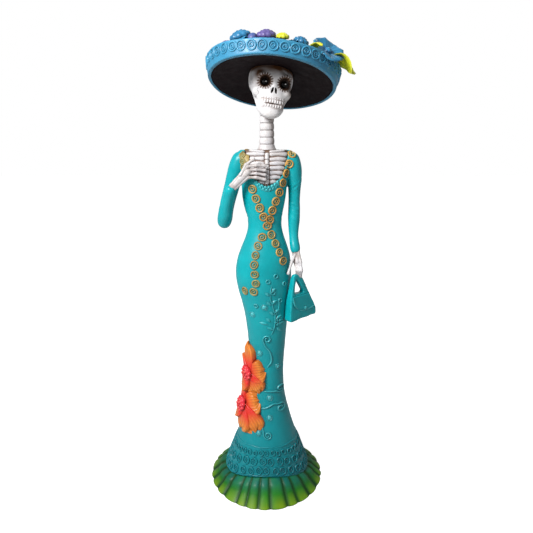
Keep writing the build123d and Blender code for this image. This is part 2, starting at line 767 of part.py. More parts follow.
def tray_place(angle, height):
    """A place in the tray, turned to face outwards."""
    turn = radians(angle)
    spot = (TRAY_RADIUS * sin(turn), -TRAY_RADIUS * cos(turn), height)
    return HAT_PLACE * Location(spot, (0, 0, angle - 90))



BLUE_BLOSSOMS = [(-38, 13.0), (27, 10.5), (112, 13.0), (-112, 13.0), (175, 13.0)]
VIOLET_BLOSSOMS = [(-5, 11.5), (-75, 12.5), (146, 12.5), (-148, 12.5)]
with BuildPart() as hat_blue_flowers:
    for angle, radius in BLUE_BLOSSOMS:
        with Locations(tray_place(angle, 18.5)):
            add(blossom(5, radius, 22.0))

with BuildPart() as hat_violet_flowers:
    for angle, radius in VIOLET_BLOSSOMS:
        with Locations(tray_place(angle, 18.0)):
            add(blossom(6, radius, 21.0))
    add(hat_blue_flowers.part, mode=Mode.SUBTRACT)

with BuildPart() as hat_side_bloom:
    with Locations(HAT_PLACE * Location((47.5, -28.0, 21.5), (0, 22, 0))):
        add(blossom(5, 14.5, 15.0))
    add(band_upright.part.moved(HAT_PLACE), mode=Mode.SUBTRACT)
    add(hat_blue_flowers.part, mode=Mode.SUBTRACT)

LEAF_WIDTHS = [2.0, 5.0, 6.0, 4.5, 0.8]
LEAF_RUNS = [
    [(50, -26, 24.5), (60, -23, 22.5), (67, -21, 16.5), (73, -20.5, 9.5)],
    [(48, -18, 22), (57, -13, 22.5), (65, -11, 19.0), (69, -10, 13.0)],
    [(33, -38, 18), (38, -46, 20.5), (41, -52, 21.5), (43.5, -57, 20.0)],
    [(9, -36, 15), (10, -43, 22), (11, -49, 23.5), (12, -54, 20.5)],
]
with BuildPart() as hat_yellow_leaves:
    for run in LEAF_RUNS:
        add(leaf(run, LEAF_WIDTHS, 1.1).moved(HAT_PLACE))
    add(band_upright.part.moved(HAT_PLACE), mode=Mode.SUBTRACT)
    add(hat_side_bloom.part, mode=Mode.SUBTRACT)
    add(hat_blue_flowers.part, mode=Mode.SUBTRACT)
    add(hat_violet_flowers.part, mode=Mode.SUBTRACT)

# ---------------------------------------------------------------- every piece, written out
PIECES = {
    "foot_disc": foot_disc,
    "armature_post": armature_post,
    "skirt_shell": skirt_shell,
    "bodice_shell": bodice_shell,
    "chest_core": chest_core,
    "neck_socket": neck_socket,
    "ribs": ribs,
    "breastbone": breastbone,
    "right_sleeve": right_sleeve,
    "left_sleeve": left_sleeve,
    "right_hand": right_hand,
    "left_hand": left_hand,
    "bag_body": bag_body,
    "bag_flap": bag_flap,
    "bag_button": bag_button,
    "neckline_frill": neckline_frill,
    "chain_rosettes": chain_rosettes,
    "skirt_scrolls": skirt_scrolls,
    "skirt_dots": skirt_dots,
    "skirt_sprig": skirt_sprig,
    "upper_flower_petals": upper_flower_petals,
    "upper_flower_heart": upper_flower_heart,
    "lower_flower_petals": lower_flower_petals,
    "lower_flower_heart": lower_flower_heart,
    "lace_rings": lace_rings,
    "hem_cords": hem_cords,
    "hem_ruffle": hem_ruffle,
    "neck_dowel": neck_dowel,
    "neck_collar": neck_collar,
    "neck_vertebrae": neck_vertebrae,
    "skull": skull,
    "upper_teeth": upper_teeth,
    "lower_teeth": lower_teeth,
    "eye_petals": eye_petals,
    "eye_discs": eye_discs,
    "eye_glints": eye_glints,
    "hat_brim": hat_brim,
    "hat_band": hat_band,
    "hat_crown": hat_crown,
    "band_rosettes": band_rosettes,
    "hat_blue_flowers": hat_blue_flowers,
    "hat_violet_flowers": hat_violet_flowers,
    "hat_side_bloom": hat_side_bloom,
    "hat_yellow_leaves": hat_yellow_leaves,
}
for name, piece in PIECES.items():
    finish(name, piece.part)
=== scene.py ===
import math

import bpy
import numpy as np
from mathutils import Matrix, Vector
from mathutils.bvhtree import BVHTree


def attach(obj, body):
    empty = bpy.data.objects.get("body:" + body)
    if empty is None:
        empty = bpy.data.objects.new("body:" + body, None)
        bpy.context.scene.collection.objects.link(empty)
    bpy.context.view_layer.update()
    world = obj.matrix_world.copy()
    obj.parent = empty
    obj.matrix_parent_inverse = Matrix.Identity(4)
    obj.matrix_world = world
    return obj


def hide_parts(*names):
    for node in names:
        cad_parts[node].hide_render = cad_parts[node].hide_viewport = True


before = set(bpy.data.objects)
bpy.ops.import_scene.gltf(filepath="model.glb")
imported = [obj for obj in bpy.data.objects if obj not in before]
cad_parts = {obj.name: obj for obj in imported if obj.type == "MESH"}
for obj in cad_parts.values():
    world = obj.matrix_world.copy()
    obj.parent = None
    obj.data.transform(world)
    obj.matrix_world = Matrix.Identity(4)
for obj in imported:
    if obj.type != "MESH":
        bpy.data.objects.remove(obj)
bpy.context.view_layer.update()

rng = np.random.default_rng(11)
MM = 0.001
BUMP_DEPTH = 0.0004  # metres


# ------------------------------------------------------------------ materials
def rgb(code):
    """A linear colour from a screen colour such as "18aeb0"."""
    parts = [int(code[n:n + 2], 16) / 255 for n in (0, 2, 4)]
    return tuple(c / 12.92 if c <= 0.04045 else ((c + 0.055) / 1.055) ** 2.4 for c in parts) + (1.0,)


class Paint:
    """A painted papier-mache material: node by node, from a base colour upwards."""

    def __init__(self, name, rough=0.42, coat=0.12, shine=0.5):
        self.material = bpy.data.materials.new(name)
        self.material.use_nodes = True
        self.tree = self.material.node_tree
        self.shader = self.tree.nodes["Principled BSDF"]
        self.rough = rough
        self.feed(self.shader, {"Coat Weight": coat, "Coat Roughness": 0.25, "Specular IOR Level": shine})
        self.place = self.node("ShaderNodeTexCoord").outputs["Object"]

    def feed(self, node, inputs):
        """Sets inputs to a value, a screen colour such as "18aeb0", or another node's output."""
        for key, value in inputs.items():
            if isinstance(value, bpy.types.NodeSocket):
                self.tree.links.new(value, node.inputs[key])
            else:
                node.inputs[key].default_value = rgb(value) if isinstance(value, str) else value

    def node(self, kind, inputs=None, **settings):
        made = self.tree.nodes.new(kind)
        for key, value in settings.items():
            setattr(made, key, value)
        self.feed(made, inputs or {})
        return made

    def noise(self, scale, detail=3.0):
        inputs = {"Scale": scale, "Detail": detail, "Roughness": 0.55, "Vector": self.place}
        return self.node("ShaderNodeTexNoise", inputs).outputs["Fac"]

    def ramp(self, value, low, high, top=1.0):
        """value mapped so that low gives 0 and high gives top, clamped."""
        inputs = {"Value": value, "From Min": low, "From Max": high, "To Max": top}
        return self.node("ShaderNodeMapRange", inputs).outputs["Result"]

    def mix(self, share, first, second):
        inputs = {"Factor": share, "A": first, "B": second}
        return self.node("ShaderNodeMix", inputs, data_type="RGBA").outputs["Result"]

    def attribute(self, name):
        return self.node("ShaderNodeAttribute", attribute_name=name).outputs["Fac"]

    def height(self):
        """Height above the floor, in metres."""
        return self.node("ShaderNodeSeparateXYZ", {0: self.place}).outputs["Z"]

    def pointiness(self):
        return self.node("ShaderNodeNewGeometry").outputs["Pointiness"]

    def cavity(self, distance):
        """1 in the open, falling to 0 deep in a groove."""
        return self.node("ShaderNodeAmbientOcclusion", {"Distance": distance}, samples=6).outputs["AO"]

    def finish(self, colour, bumps):
        """Sets the colour, a little uneven gloss and the layered bumps [(value, strength)]."""
        inputs = {"Value": self.ramp(self.noise(160), 0.3, 0.7)}
        inputs.update({"To Min": self.rough - 0.08, "To Max": self.rough + 0.12})
        gloss = self.node("ShaderNodeMapRange", inputs).outputs["Result"]
        self.feed(self.shader, {"Base Color": colour, "Roughness": gloss})
        under = {}
        for value, strength in bumps:
            inputs = {"Strength": strength, "Distance": BUMP_DEPTH, "Height": value, **under}
            under = {"Normal": self.node("ShaderNodeBump", inputs).outputs["Normal"]}
        self.feed(self.shader, under)
        return self.material


def painted(name, base, light, dark, rough=0.42, coat=0.12, edge=0.55, groove=0.6, patch=0.35, reach=0.0025,
            shine=0.5, low_shade=0.0):
    """Brushed paint: patchy, with a painted highlight along raised edges, painted shade in grooves and, if
    asked, painted shade low down.
    """
    p = Paint(name, rough, coat, shine)
    colour = p.mix(p.ramp(p.noise(45), 0.35, 0.7, patch), base, light)
    colour = p.mix(p.ramp(p.noise(22), 0.4, 0.75, patch), colour, dark)
    # Painted highlight: the light colour along raised, pointy edges.
    colour = p.mix(p.ramp(p.pointiness(), 0.51, 0.58, edge), colour, light)
    # Painted shade: the dark colour deep in grooves and creases.
    colour = p.mix(p.ramp(p.cavity(reach), 0.92, 0.45, groove), colour, dark)
    # Painted shade: the dark colour towards the bottom of the piece.
    if low_shade:
        colour = p.mix(p.ramp(p.height(), 0.24, 0.03, low_shade), colour, dark)
    return p.finish(colour, [(p.noise(900, 4), 0.18), (p.noise(220, 3), 0.35)])


def bone(name, wash_share=0.75, soiled=0.45, white="dcdade"):
    """Bone-white paint under washed-on brown that has stayed in the grooves, and more brown where a piece's
    mask asks: in places painted shade.
    """
    p = Paint(name, 0.46, 0.08)
    colour = p.mix(p.ramp(p.noise(70), 0.35, 0.7, soiled), white, "c9c0b6")
    colour = p.mix(p.ramp(p.noise(240, 5), 0.55, 0.75, soiled), colour, "9a8671")
    colour = p.mix(p.ramp(p.cavity(0.004), 0.92, 0.45, wash_share), colour, "5b3422")
    # Brown from the piece's mask: washed-on brown, and in places painted shade.
    colour = p.mix(p.attribute("wash"), colour, "6b4526")
    colour = p.mix(p.attribute("dark"), colour, "180c08")
    return p.finish(colour, [(p.noise(1200, 4), 0.2), (p.noise(300, 3), 0.3)])


TEAL = painted("teal_paint", "04a6ad", "14c0c8", "024f5d", rough=0.36, coat=0.12, patch=0.3, shine=0.3,
               low_shade=0.58)
LACE = painted("lace_paint", "0a9fa8", "2fbcc4", "033e4a", rough=0.38, coat=0.1, edge=0.5, groove=1.0,
               reach=0.004, shine=0.3, low_shade=0.42)
# A lighter copy of the dress's teal for the raised relief: painted highlight on the relief.
HIGHLIT_TEAL_RELIEF = painted("highlit_teal_relief_paint", "1fb0b6", "6fe0e4", "04505c", rough=0.34, coat=0.25, edge=1.0,
                      groove=0.9, low_shade=0.45)
BONE = bone("bone_paint")
SHADED_BONE = bone("shaded_bone_paint", 0.95, 0.6)
# A whiter copy of the bone paint: painted light on the skull, which sits in the hat's shadow.
SKULL_BONE = bone("skull_bone_paint", 0.8, 0.25, "f0eef0")
# Its dark colour is green: the rosettes are green in their grooves, and deepening it there is also painted
# shade.
GOLD = painted("gold_paint", "b8792a", "e6b45a", "3f7d5c", rough=0.42, patch=0.8, edge=0.7, groove=1.0)
BLUE = painted("hat_blue_paint", "2f86ae", "52abd0", "15506f", rough=0.4)
# A lighter copy of the band's blue for the raised rosettes: painted highlight on them.
HIGHLIT_BLUE_RELIEF = painted("highlit_hat_blue_relief_paint", "358fb6", "63bbdc", "124a68", rough=0.4, edge=0.85)
YELLOW = painted("leaf_yellow_paint", "dfe31a", "f4f25a", "7f9420", rough=0.4, patch=0.4)
BLACK = painted("eye_black_paint", "040303", "0b0807", "000000", rough=0.38, coat=0.1, shine=0.25)
GLINT = painted("glint_white_paint", "f4f4f4", "ffffff", "dddddd", rough=0.3)
HAT_DARK = painted("hat_dark_paint", "170b0f", "27171b", "060304", rough=0.7, coat=0.0, shine=0.15)
PASTE = painted("bare_paste", "a8977a", "c4b596", "6e5f48", rough=0.8, coat=0.0)
CHEST = painted("chest_brown_paint", "6b4a36", "97806c", "351f16", rough=0.6, coat=0.0)


def wood():
    """Bare softwood with long grain."""
    p = Paint("bare_wood", 0.6, 0.0)
    wave = {"Scale": 300, "Distortion": 6, "Vector": p.place}
    grain = p.node("ShaderNodeTexWave", wave, wave_type="RINGS", rings_direction="Z")
    colour = p.mix(p.ramp(grain.outputs["Fac"], 0.2, 0.9, 0.8), "c79a63", "8f6337")
    return p.finish(colour, [(grain.outputs["Fac"], 0.3)])


def petal_paint(name, base, light, streak, heart, deep):
    """Fine streaks from the heart outwards, another colour near the heart, painted shade in the folds."""
    p = Paint(name, 0.4, 0.15)
    colour = p.mix(p.ramp(p.noise(60), 0.35, 0.7, 0.6), base, light)
    colour = p.mix(p.attribute("streak"), colour, streak)
    colour = p.mix(p.attribute("heart"), colour, heart)
    # Painted shade deep in folds and hollows.
    colour = p.mix(p.ramp(p.cavity(0.004), 0.9, 0.4, 0.85), colour, deep)
    return p.finish(colour, [(p.noise(900, 4), 0.2)])


def heart_paint():
    """Red to pink, orange on the highest curls, painted shade between them."""
    p = Paint("flower_heart_paint", 0.4, 0.15)
    colour = p.mix(p.ramp(p.noise(130), 0.4, 0.65, 1.0), "d9182c", "ef3f52")
    colour = p.mix(p.ramp(p.pointiness(), 0.52, 0.6, 0.9), colour, "f2742a")
    # Painted shade in the hollows between the curls.
    colour = p.mix(p.ramp(p.cavity(0.003), 0.85, 0.4, 0.8), colour, "7d0a16")
    return p.finish(colour, [(p.noise(900, 4), 0.25)])


def ruffle_paint():
    """Teal at the seam, through green to yellow-green at the rim, with painted shade in dark green in the
    folds.
    """
    p = Paint("ruffle_paint", 0.46, 0.06, 0.25)
    down = p.attribute("down")
    colour = p.mix(p.ramp(down, 0.15, 0.55), "08685c", "1a6e18")
    colour = p.mix(p.ramp(down, 0.55, 0.95), colour, "70940c")
    colour = p.mix(p.ramp(p.noise(60), 0.42, 0.7, 0.45), colour, "2f8a25")
    # Painted shade: dark green in the valleys, towards the sides and on the inner face.
    colour = p.mix(p.attribute("fold_shade"), colour, "0b3d0f")
    return p.finish(colour, [(p.noise(900, 4), 0.2), (p.noise(200), 0.3)])


PETAL = petal_paint("orange_petal_paint", "dd7a1e", "ee9a3c", "a94a17", "df221d", "8c2a12")
FLOWER_BLUE = petal_paint("flower_blue_paint", "2679a3", "3f9cc8", "154a72", "1c5f92", "0a2440")
FLOWER_VIOLET = petal_paint("flower_violet_paint", "3d6298", "5b5f9f", "2c3268", "93468f", "15142f")
HEART = heart_paint()
RUFFLE = ruffle_paint()
WOOD = wood()


# ------------------------------------------------------------------ meshes
def make_object(name, points, faces, material, body, masks=None, hides=()):
    """A smooth-shaded piece from points in mm, riding on a body, with its own paint masks."""
    mesh = bpy.data.meshes.new(name)
    mesh.from_pydata((np.asarray(points) * MM).tolist(), [], np.asarray(faces).tolist())
    mesh.polygons.foreach_set("use_smooth", [True] * len(mesh.polygons))
    mesh.materials.append(material)
    for key, values in (masks or {}).items():
        mask = mesh.attributes.new(key, "FLOAT", "POINT")
        mask.data.foreach_set("value", np.clip(values, 0, 1).astype(np.float32))
    mesh.update()
    piece = bpy.data.objects.new(name, mesh)
    bpy.context.scene.collection.objects.link(piece)
    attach(piece, body)
    if hides:
        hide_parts(*hides)
    return piece


def grid_faces(rows, columns, wrap_rows=False, wrap_columns=False):
    """Quads over a grid of points, numbered row by row."""
    row_steps, column_steps = (rows if wrap_rows else rows - 1), (columns if wrap_columns else columns - 1)
    i, j = np.divmod(np.arange(row_steps * column_steps), column_steps)
    down, right = (i + 1) % rows, (j + 1) % columns
    return np.stack([i * columns + j, i * columns + right, down * columns + right, down * columns + j], 1)


class Pile:
    """Collects many small surfaces into one mesh."""

    def __init__(self):
        self.points, self.faces, self.masks, self.count = [], [], {}, 0

    def add(self, points, faces, **masks):
        points = np.asarray(points).reshape(-1, 3)
        self.points.append(points)
        self.faces.append(np.asarray(faces) + self.count)
        for key, values in masks.items():
            self.masks.setdefault(key, []).append(np.asarray(values).ravel())
        self.count += len(points)

    def make(self, name, material, body, hides=()):
        points, faces = np.concatenate(self.points), np.concatenate(self.faces)
        masks = {key: np.concatenate(values) for key, values in self.masks.items()}
        return make_object(name, points, faces, material, body, masks, hides)


# ------------------------------------------------------------------ solid blends
def surface_net(field, low, high, step):
    """Points and quads of the surface where field(points) is zero; the inside is negative."""
    axes = [np.arange(a - step, b + 2 * step, step) for a, b in zip(low, high)]
    spots = np.stack(np.meshgrid(*axes, indexing="ij"), -1)
    value = field(spots.reshape(-1, 3)).reshape(spots.shape[:3])
    cells = np.array(value.shape) - 1
    total = np.zeros((*cells, 3))
    count = np.zeros(cells)
    crossings = []
    for axis in range(3):
        first = np.take(value, np.arange(value.shape[axis] - 1), axis)
        second = np.take(value, np.arange(1, value.shape[axis]), axis)
        where = np.argwhere((first < 0) != (second < 0))
        a, b = first[tuple(where.T)], second[tuple(where.T)]
        spot = where.astype(float)
        spot[:, axis] += a / (a - b)
        others = [n for n in range(3) if n != axis]
        near = np.stack([where] * 4)
        for k, (du, dv) in enumerate(((0, 0), (1, 0), (1, 1), (0, 1))):
            near[k, :, others[0]] -= du
            near[k, :, others[1]] -= dv
        fine = np.all((near >= 0) & (near < cells), axis=(0, 2))
        near, spot, flip = near[:, fine], spot[fine], (a < 0)[fine] != (axis == 1)
        for block in near:
            np.add.at(total, tuple(block.T), spot)
            np.add.at(count, tuple(block.T), 1)
        crossings.append((near, flip))
    number = np.full(cells, -1)
    used = count > 0
    number[used] = np.arange(used.sum())
    points = total[used] / count[used][:, None] * step + np.array([axis[0] for axis in axes])
    faces = []
    for near, flip in crossings:
        quads = np.stack([number[tuple(block.T)] for block in near], 1)
        faces.append(np.where(flip[:, None], quads, quads[:, ::-1]))
    return points, np.concatenate(faces)


def egg(p, centre, radii, turn=None):
    """A stretched ball; turn is a 3x3 rotation of its own axes."""
    q = p - centre
    if turn is not None:
        q = q @ turn
    radii = np.asarray(radii, float)
    scaled = np.linalg.norm(q / radii, axis=1)
    return (scaled - 1) * scaled / np.maximum(np.linalg.norm(q / radii**2, axis=1), 1e-6)


def rod(p, start, end, r0, r1):
    """A rounded rod whose radius runs from r0 to r1."""
    start, end = np.asarray(start, float), np.asarray(end, float)
    along = end - start
    t = np.clip((p - start) @ along / (along @ along), 0, 1)
    return np.linalg.norm(p - start - t[:, None] * along, axis=1) - (r0 + (r1 - r0) * t)


def join(a, b, soft):
    """A smooth union."""
    h = np.clip(0.5 + 0.5 * (b - a) / soft, 0, 1)
    return b + (a - b) * h - soft * h * (1 - h)


def carve(a, b, soft):
    """a with b cut away, the edge softened."""
    return -join(-a, b, soft)


def bone_chain(p, joints, thick, thin):
    """A finger or arm bone: thick at the joints, thin between them."""
    out = None
    for start, end in zip(joints, joints[1:]):
        start, end = np.asarray(start, float), np.asarray(end, float)
        middle = (start + end) / 2
        piece = join(rod(p, start, middle, thick, thin), rod(p, middle, end, thin, thick), 0.2)
        out = piece if out is None else join(out, piece, 0.25)
    return out


# ------------------------------------------------------------------ laying relief on a surface
SINK = 0.25  # mm that the edge of a pasted piece goes under the surface


class Skin:
    """A surface to lay relief on, made from objects in metres; answers in mm."""

    def __init__(self, *pieces):
        points, faces = [], []
        for piece in pieces:
            base = len(points)
            points += [piece.matrix_world @ v.co for v in piece.data.vertices]
            faces += [[base + i for i in face.vertices] for face in piece.data.polygons]
        self.tree = BVHTree.FromPolygons(points, faces)

    def nearest(self, spot):
        """The closest surface point and its outward normal."""
        place, normal, _, _ = self.tree.find_nearest(Vector(spot) * MM)
        return np.array(place) / MM, np.array(normal)

    def hit(self, origin, direction):
        place, normal, _, _ = self.tree.ray_cast(Vector(origin) * MM, Vector(direction))
        if place is None:
            return None
        return np.array(place) / MM, np.array(normal)

    def front(self, x, z):
        """The first point met from straight in front at (x, z)."""
        return self.hit((x, -150, z), (0, 1, 0))

    def trace(self, spots):
        """Points and normals met from straight in front at each (x, z); misses are left out."""
        hits = [hit for hit in (self.front(x, z) for x, z in spots) if hit]
        return [place for place, _ in hits], [normal for _, normal in hits]

    def round(self, degrees, z):
        """The outermost point in a direction measured from the front towards +X."""
        turn = math.radians(degrees)
        out = np.array([math.sin(turn), -math.cos(turn), 0])
        return self.hit(out * 150 + (0, 0, z), -out)


def unit(v):
    return v / np.maximum(np.linalg.norm(v, axis=-1, keepdims=True), 1e-9)


def ridge(pile, centres, normals, half_width, height, closed=False, across=7, taper=True):
    """A rounded raised line along centres, dipping just under the surface at its sides."""
    centres, normals = np.asarray(centres), unit(np.asarray(normals))
    if closed:
        ahead, behind = np.roll(centres, -1, 0), np.roll(centres, 1, 0)
    else:
        ahead = np.concatenate([centres[1:], centres[-1:]])
        behind = np.concatenate([centres[:1], centres[:-1]])
    sideways = unit(np.cross(unit(ahead - behind), normals))
    widths = np.broadcast_to(np.asarray(half_width, float), len(centres)).copy()
    heights = np.broadcast_to(np.asarray(height, float), len(centres)).copy()
    if not closed and taper:
        share = np.linspace(0, 1, len(centres))
        ends = np.sqrt(np.clip(np.minimum(share, 1 - share) * 12, 0, 1)) * 0.75 + 0.25
        widths *= ends
        heights *= ends
    u = np.linspace(-1, 1, across)
    rise = (1 - np.abs(u) ** 2.2) ** 0.8
    rows = (centres[:, None] + sideways[:, None] * (u * widths[:, None])[..., None]
            + normals[:, None] * (rise * heights[:, None] - SINK)[..., None])
    pile.add(rows, grid_faces(len(centres), across, wrap_rows=closed)[:, ::-1])


def laid(skin, points):
    """Points brought down to the surface, with normals there."""
    pairs = [skin.nearest(p) for p in points]
    return np.array([a for a, _ in pairs]), unit(np.array([b for _, b in pairs]))


def curve(points, count):
    """A smooth curve through a few points, evenly sampled (Catmull-Rom)."""
    points = np.asarray(points, float)
    padded = np.concatenate([[2 * points[0] - points[1]], points, [2 * points[-1] - points[-2]]])
    dense = []
    for a, b, c, d in zip(padded, padded[1:], padded[2:], padded[3:]):
        t = np.linspace(0, 1, 24, endpoint=False)[:, None]
        bend, twist = 2 * a - 5 * b + 4 * c - d, 3 * b - a - 3 * c + d
        dense.append(0.5 * (2 * b + (c - a) * t + bend * t**2 + twist * t**3))
    dense = np.concatenate(dense + [points[-1:]])
    reach = np.concatenate([[0], np.cumsum(np.linalg.norm(np.diff(dense, axis=0), axis=1))])
    wanted = np.linspace(0, reach[-1], count)
    return np.stack([np.interp(wanted, reach, dense[:, n]) for n in range(dense.shape[1])], 1)


def tangent_axes(normal):
    """Two directions in the surface: level, and as near upwards as it allows."""
    level = unit(np.cross((0, 0, 1.0), normal))
    return level, unit(np.cross(normal, level))


def in_plane(centre, normal, reach, angle, squash=1.0):
    """Points round centre in the surface's plane, from level towards up."""
    level, up = tangent_axes(normal)
    return centre + (reach * np.cos(angle))[:, None] * level + (reach * np.sin(angle) * squash)[:, None] * up


def curl(skin, pile, centre, normal, radius, thick, high, turns, start):
    """A pasted cord wound from the middle out into a ring: one rosette."""
    t = np.linspace(0, 1, int(22 * turns))
    reach = radius * np.clip(0.22 + 1.35 * t, 0, 1)
    spots = in_plane(centre, normal, reach, start + 2 * np.pi * turns * t)
    ridge(pile, *laid(skin, spots), thick, high)


def ring(skin, pile, centre, normal, radius, thick, high, squash=1.0):
    """A closed pasted ring."""
    angle = np.linspace(0, 2 * np.pi, 26, endpoint=False)
    wobble = radius * (1 + 0.05 * np.sin(2 * angle + rng.uniform(0, 6)))
    ridge(pile, *laid(skin, in_plane(centre, normal, wobble, angle, squash)), thick, high, closed=True)


def dot(skin, pile, centre, normal, radius, high):
    """A low round dab of paste."""
    rings, around = 5, 16
    angle = np.linspace(0, 2 * np.pi, around, endpoint=False)
    rows = []
    for share in np.linspace(0.02, 1, rings):
        places, normals = laid(skin, in_plane(centre, normal, radius * share * np.ones(around), angle))
        rows.append(places + normals * (high * (1 - share**2.4) - SINK))
    pile.add(rows, grid_faces(rings, around, wrap_columns=True)[:, ::-1])


# ------------------------------------------------------------------ remeshed copies of CAD shapes
def remeshed(name, nodes, voxel, smooth, material, body):
    """The CAD nodes' own shapes melted into one soft-edged skin that stands for them."""
    points, faces = [], []
    for node in nodes:
        base = len(points)
        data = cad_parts[node].data
        points += [tuple(v.co) for v in data.vertices]
        faces += [[base + i for i in face.vertices] for face in data.polygons]
    mesh = bpy.data.meshes.new(name)
    mesh.from_pydata(points, [], faces)
    piece = bpy.data.objects.new(name, mesh)
    bpy.context.scene.collection.objects.link(piece)
    weld = piece.modifiers.new("weld", "WELD")
    weld.merge_threshold = 0.00001
    melt = piece.modifiers.new("melt", "REMESH")
    melt.mode = "VOXEL"
    melt.voxel_size = voxel * MM
    soften = piece.modifiers.new("soften", "SMOOTH")
    soften.factor = 0.5
    soften.iterations = smooth
    return baked(piece, material, body, nodes)


def baked(piece, material, body, hides):
    """Applies a piece's modifiers and puts it to work in place of the CAD nodes."""
    graph = bpy.context.evaluated_depsgraph_get()
    graph.update()
    mesh = bpy.data.meshes.new_from_object(piece.evaluated_get(graph), depsgraph=graph)
    piece.modifiers.clear()
    piece.data = mesh
    mesh.materials.clear()
    mesh.materials.append(material)
    mesh.polygons.foreach_set("use_smooth", [True] * len(mesh.polygons))
    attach(piece, body)
    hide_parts(*hides)
    return piece


def reshape(piece, move):
    """Moves a piece's points by move(points in mm, normals) -> new points in mm."""
    count = len(piece.data.vertices)
    flat = np.empty(count * 3, np.float32)
    piece.data.vertices.foreach_get("co", flat)
    normals = np.empty(count * 3, np.float32)
    piece.data.vertex_normals.foreach_get("vector", normals)
    moved = move(flat.reshape(-1, 3).astype(float) / MM, normals.reshape(-1, 3).astype(float)) * MM
    piece.data.vertices.foreach_set("co", moved.astype(np.float32).ravel())
    piece.data.update()


def bump_field(p, scale, seed):
    """Slow, hand-made unevenness: a few random waves, about -1 to 1."""
    waves = np.random.default_rng(seed)
    out = np.zeros(len(p))
    for _ in range(7):
        way = unit(waves.normal(size=3)) * 2 * np.pi / scale * waves.uniform(0.7, 1.5)
        out += np.sin(p @ way + waves.uniform(0, 6.3))
    return out / 3


# ------------------------------------------------------------------ dress
def crease(points, normals, spots, width, depth):
    """Presses short wrinkles (start, end) into a skin."""
    moved = points.copy()
    for start, end in spots:
        start, end = np.asarray(start, float), np.asarray(end, float)
        along = end - start
        t = np.clip((points - start) @ along / (along @ along), 0, 1)
        away = np.linalg.norm(points - start - t[:, None] * along, axis=1)
        moved -= normals * (depth * np.exp(-((away / width) ** 2)))[:, None]
        moved += normals * (0.5 * depth * np.exp(-(((away - 1.9 * width) / width) ** 2)))[:, None]
    return moved


ELBOW_CREASES = [((33, -2, 304), (23, -3, 308)), ((33, -3, 299), (24, -5, 302)),
                 ((32, -5, 293), (24, -6, 295)), ((33, 0, 331), (25, -4, 322)),
                 ((-41, -3, 309), (-47, 2, 303)), ((-31, -2, 327), (-41, -1, 322))]
# The ruffle's flutes, its seam with the skirt and its rim; then how its seam drops and spreads at the sides.
FLUTES, PAPER = 26, 1.5
SEAM_Z, SEAM_RADIUS, RIM_RADIUS = 23.0, 42.6, 61.8
DIP_TOP, SIDE_DROP, SIDE_SPREAD = 60.0, 10.5, 4.6


def hem_dip(turn, z):
    """How far the hem drops and spreads towards the figure's sides: (mm down, mm out)."""
    share = np.clip((DIP_TOP - z) / (DIP_TOP - SEAM_Z), 0, 1)
    share = share * share * (3 - 2 * share) * np.clip(z / SEAM_Z, 0, 1) * np.sin(turn) ** 2
    return SIDE_DROP * share, SIDE_SPREAD * share


def dress():
    """Skirt, bodice and sleeves in one painted skin, as the paste coat makes them."""
    skin = remeshed("dress", ["skirt_shell", "bodice_shell", "right_sleeve", "left_sleeve"],
                    0.8, 7, TEAL, "figure")

    def sculpt(points, normals):
        points = crease(points, normals, ELBOW_CREASES, 0.9, 0.55)
        slow = 0.22 * bump_field(points, 45, 3) + 0.1 * bump_field(points, 14, 4)
        points = points + normals * slow[:, None]
        down, out = hem_dip(np.arctan2(points[:, 0], -points[:, 1]), points[:, 2])
        reach = np.maximum(np.hypot(points[:, 0], points[:, 1]), 1)
        points[:, :2] *= (1 + out / reach)[:, None]
        points[:, 2] -= down
        return points

    reshape(skin, sculpt)
    return skin


def round_rows(radius, turn, z):
    """A row of points round Z at the given radii and heights, from the front towards +X."""
    return np.stack([radius * np.sin(turn), -radius * np.cos(turn), z + 0 * turn], 1)


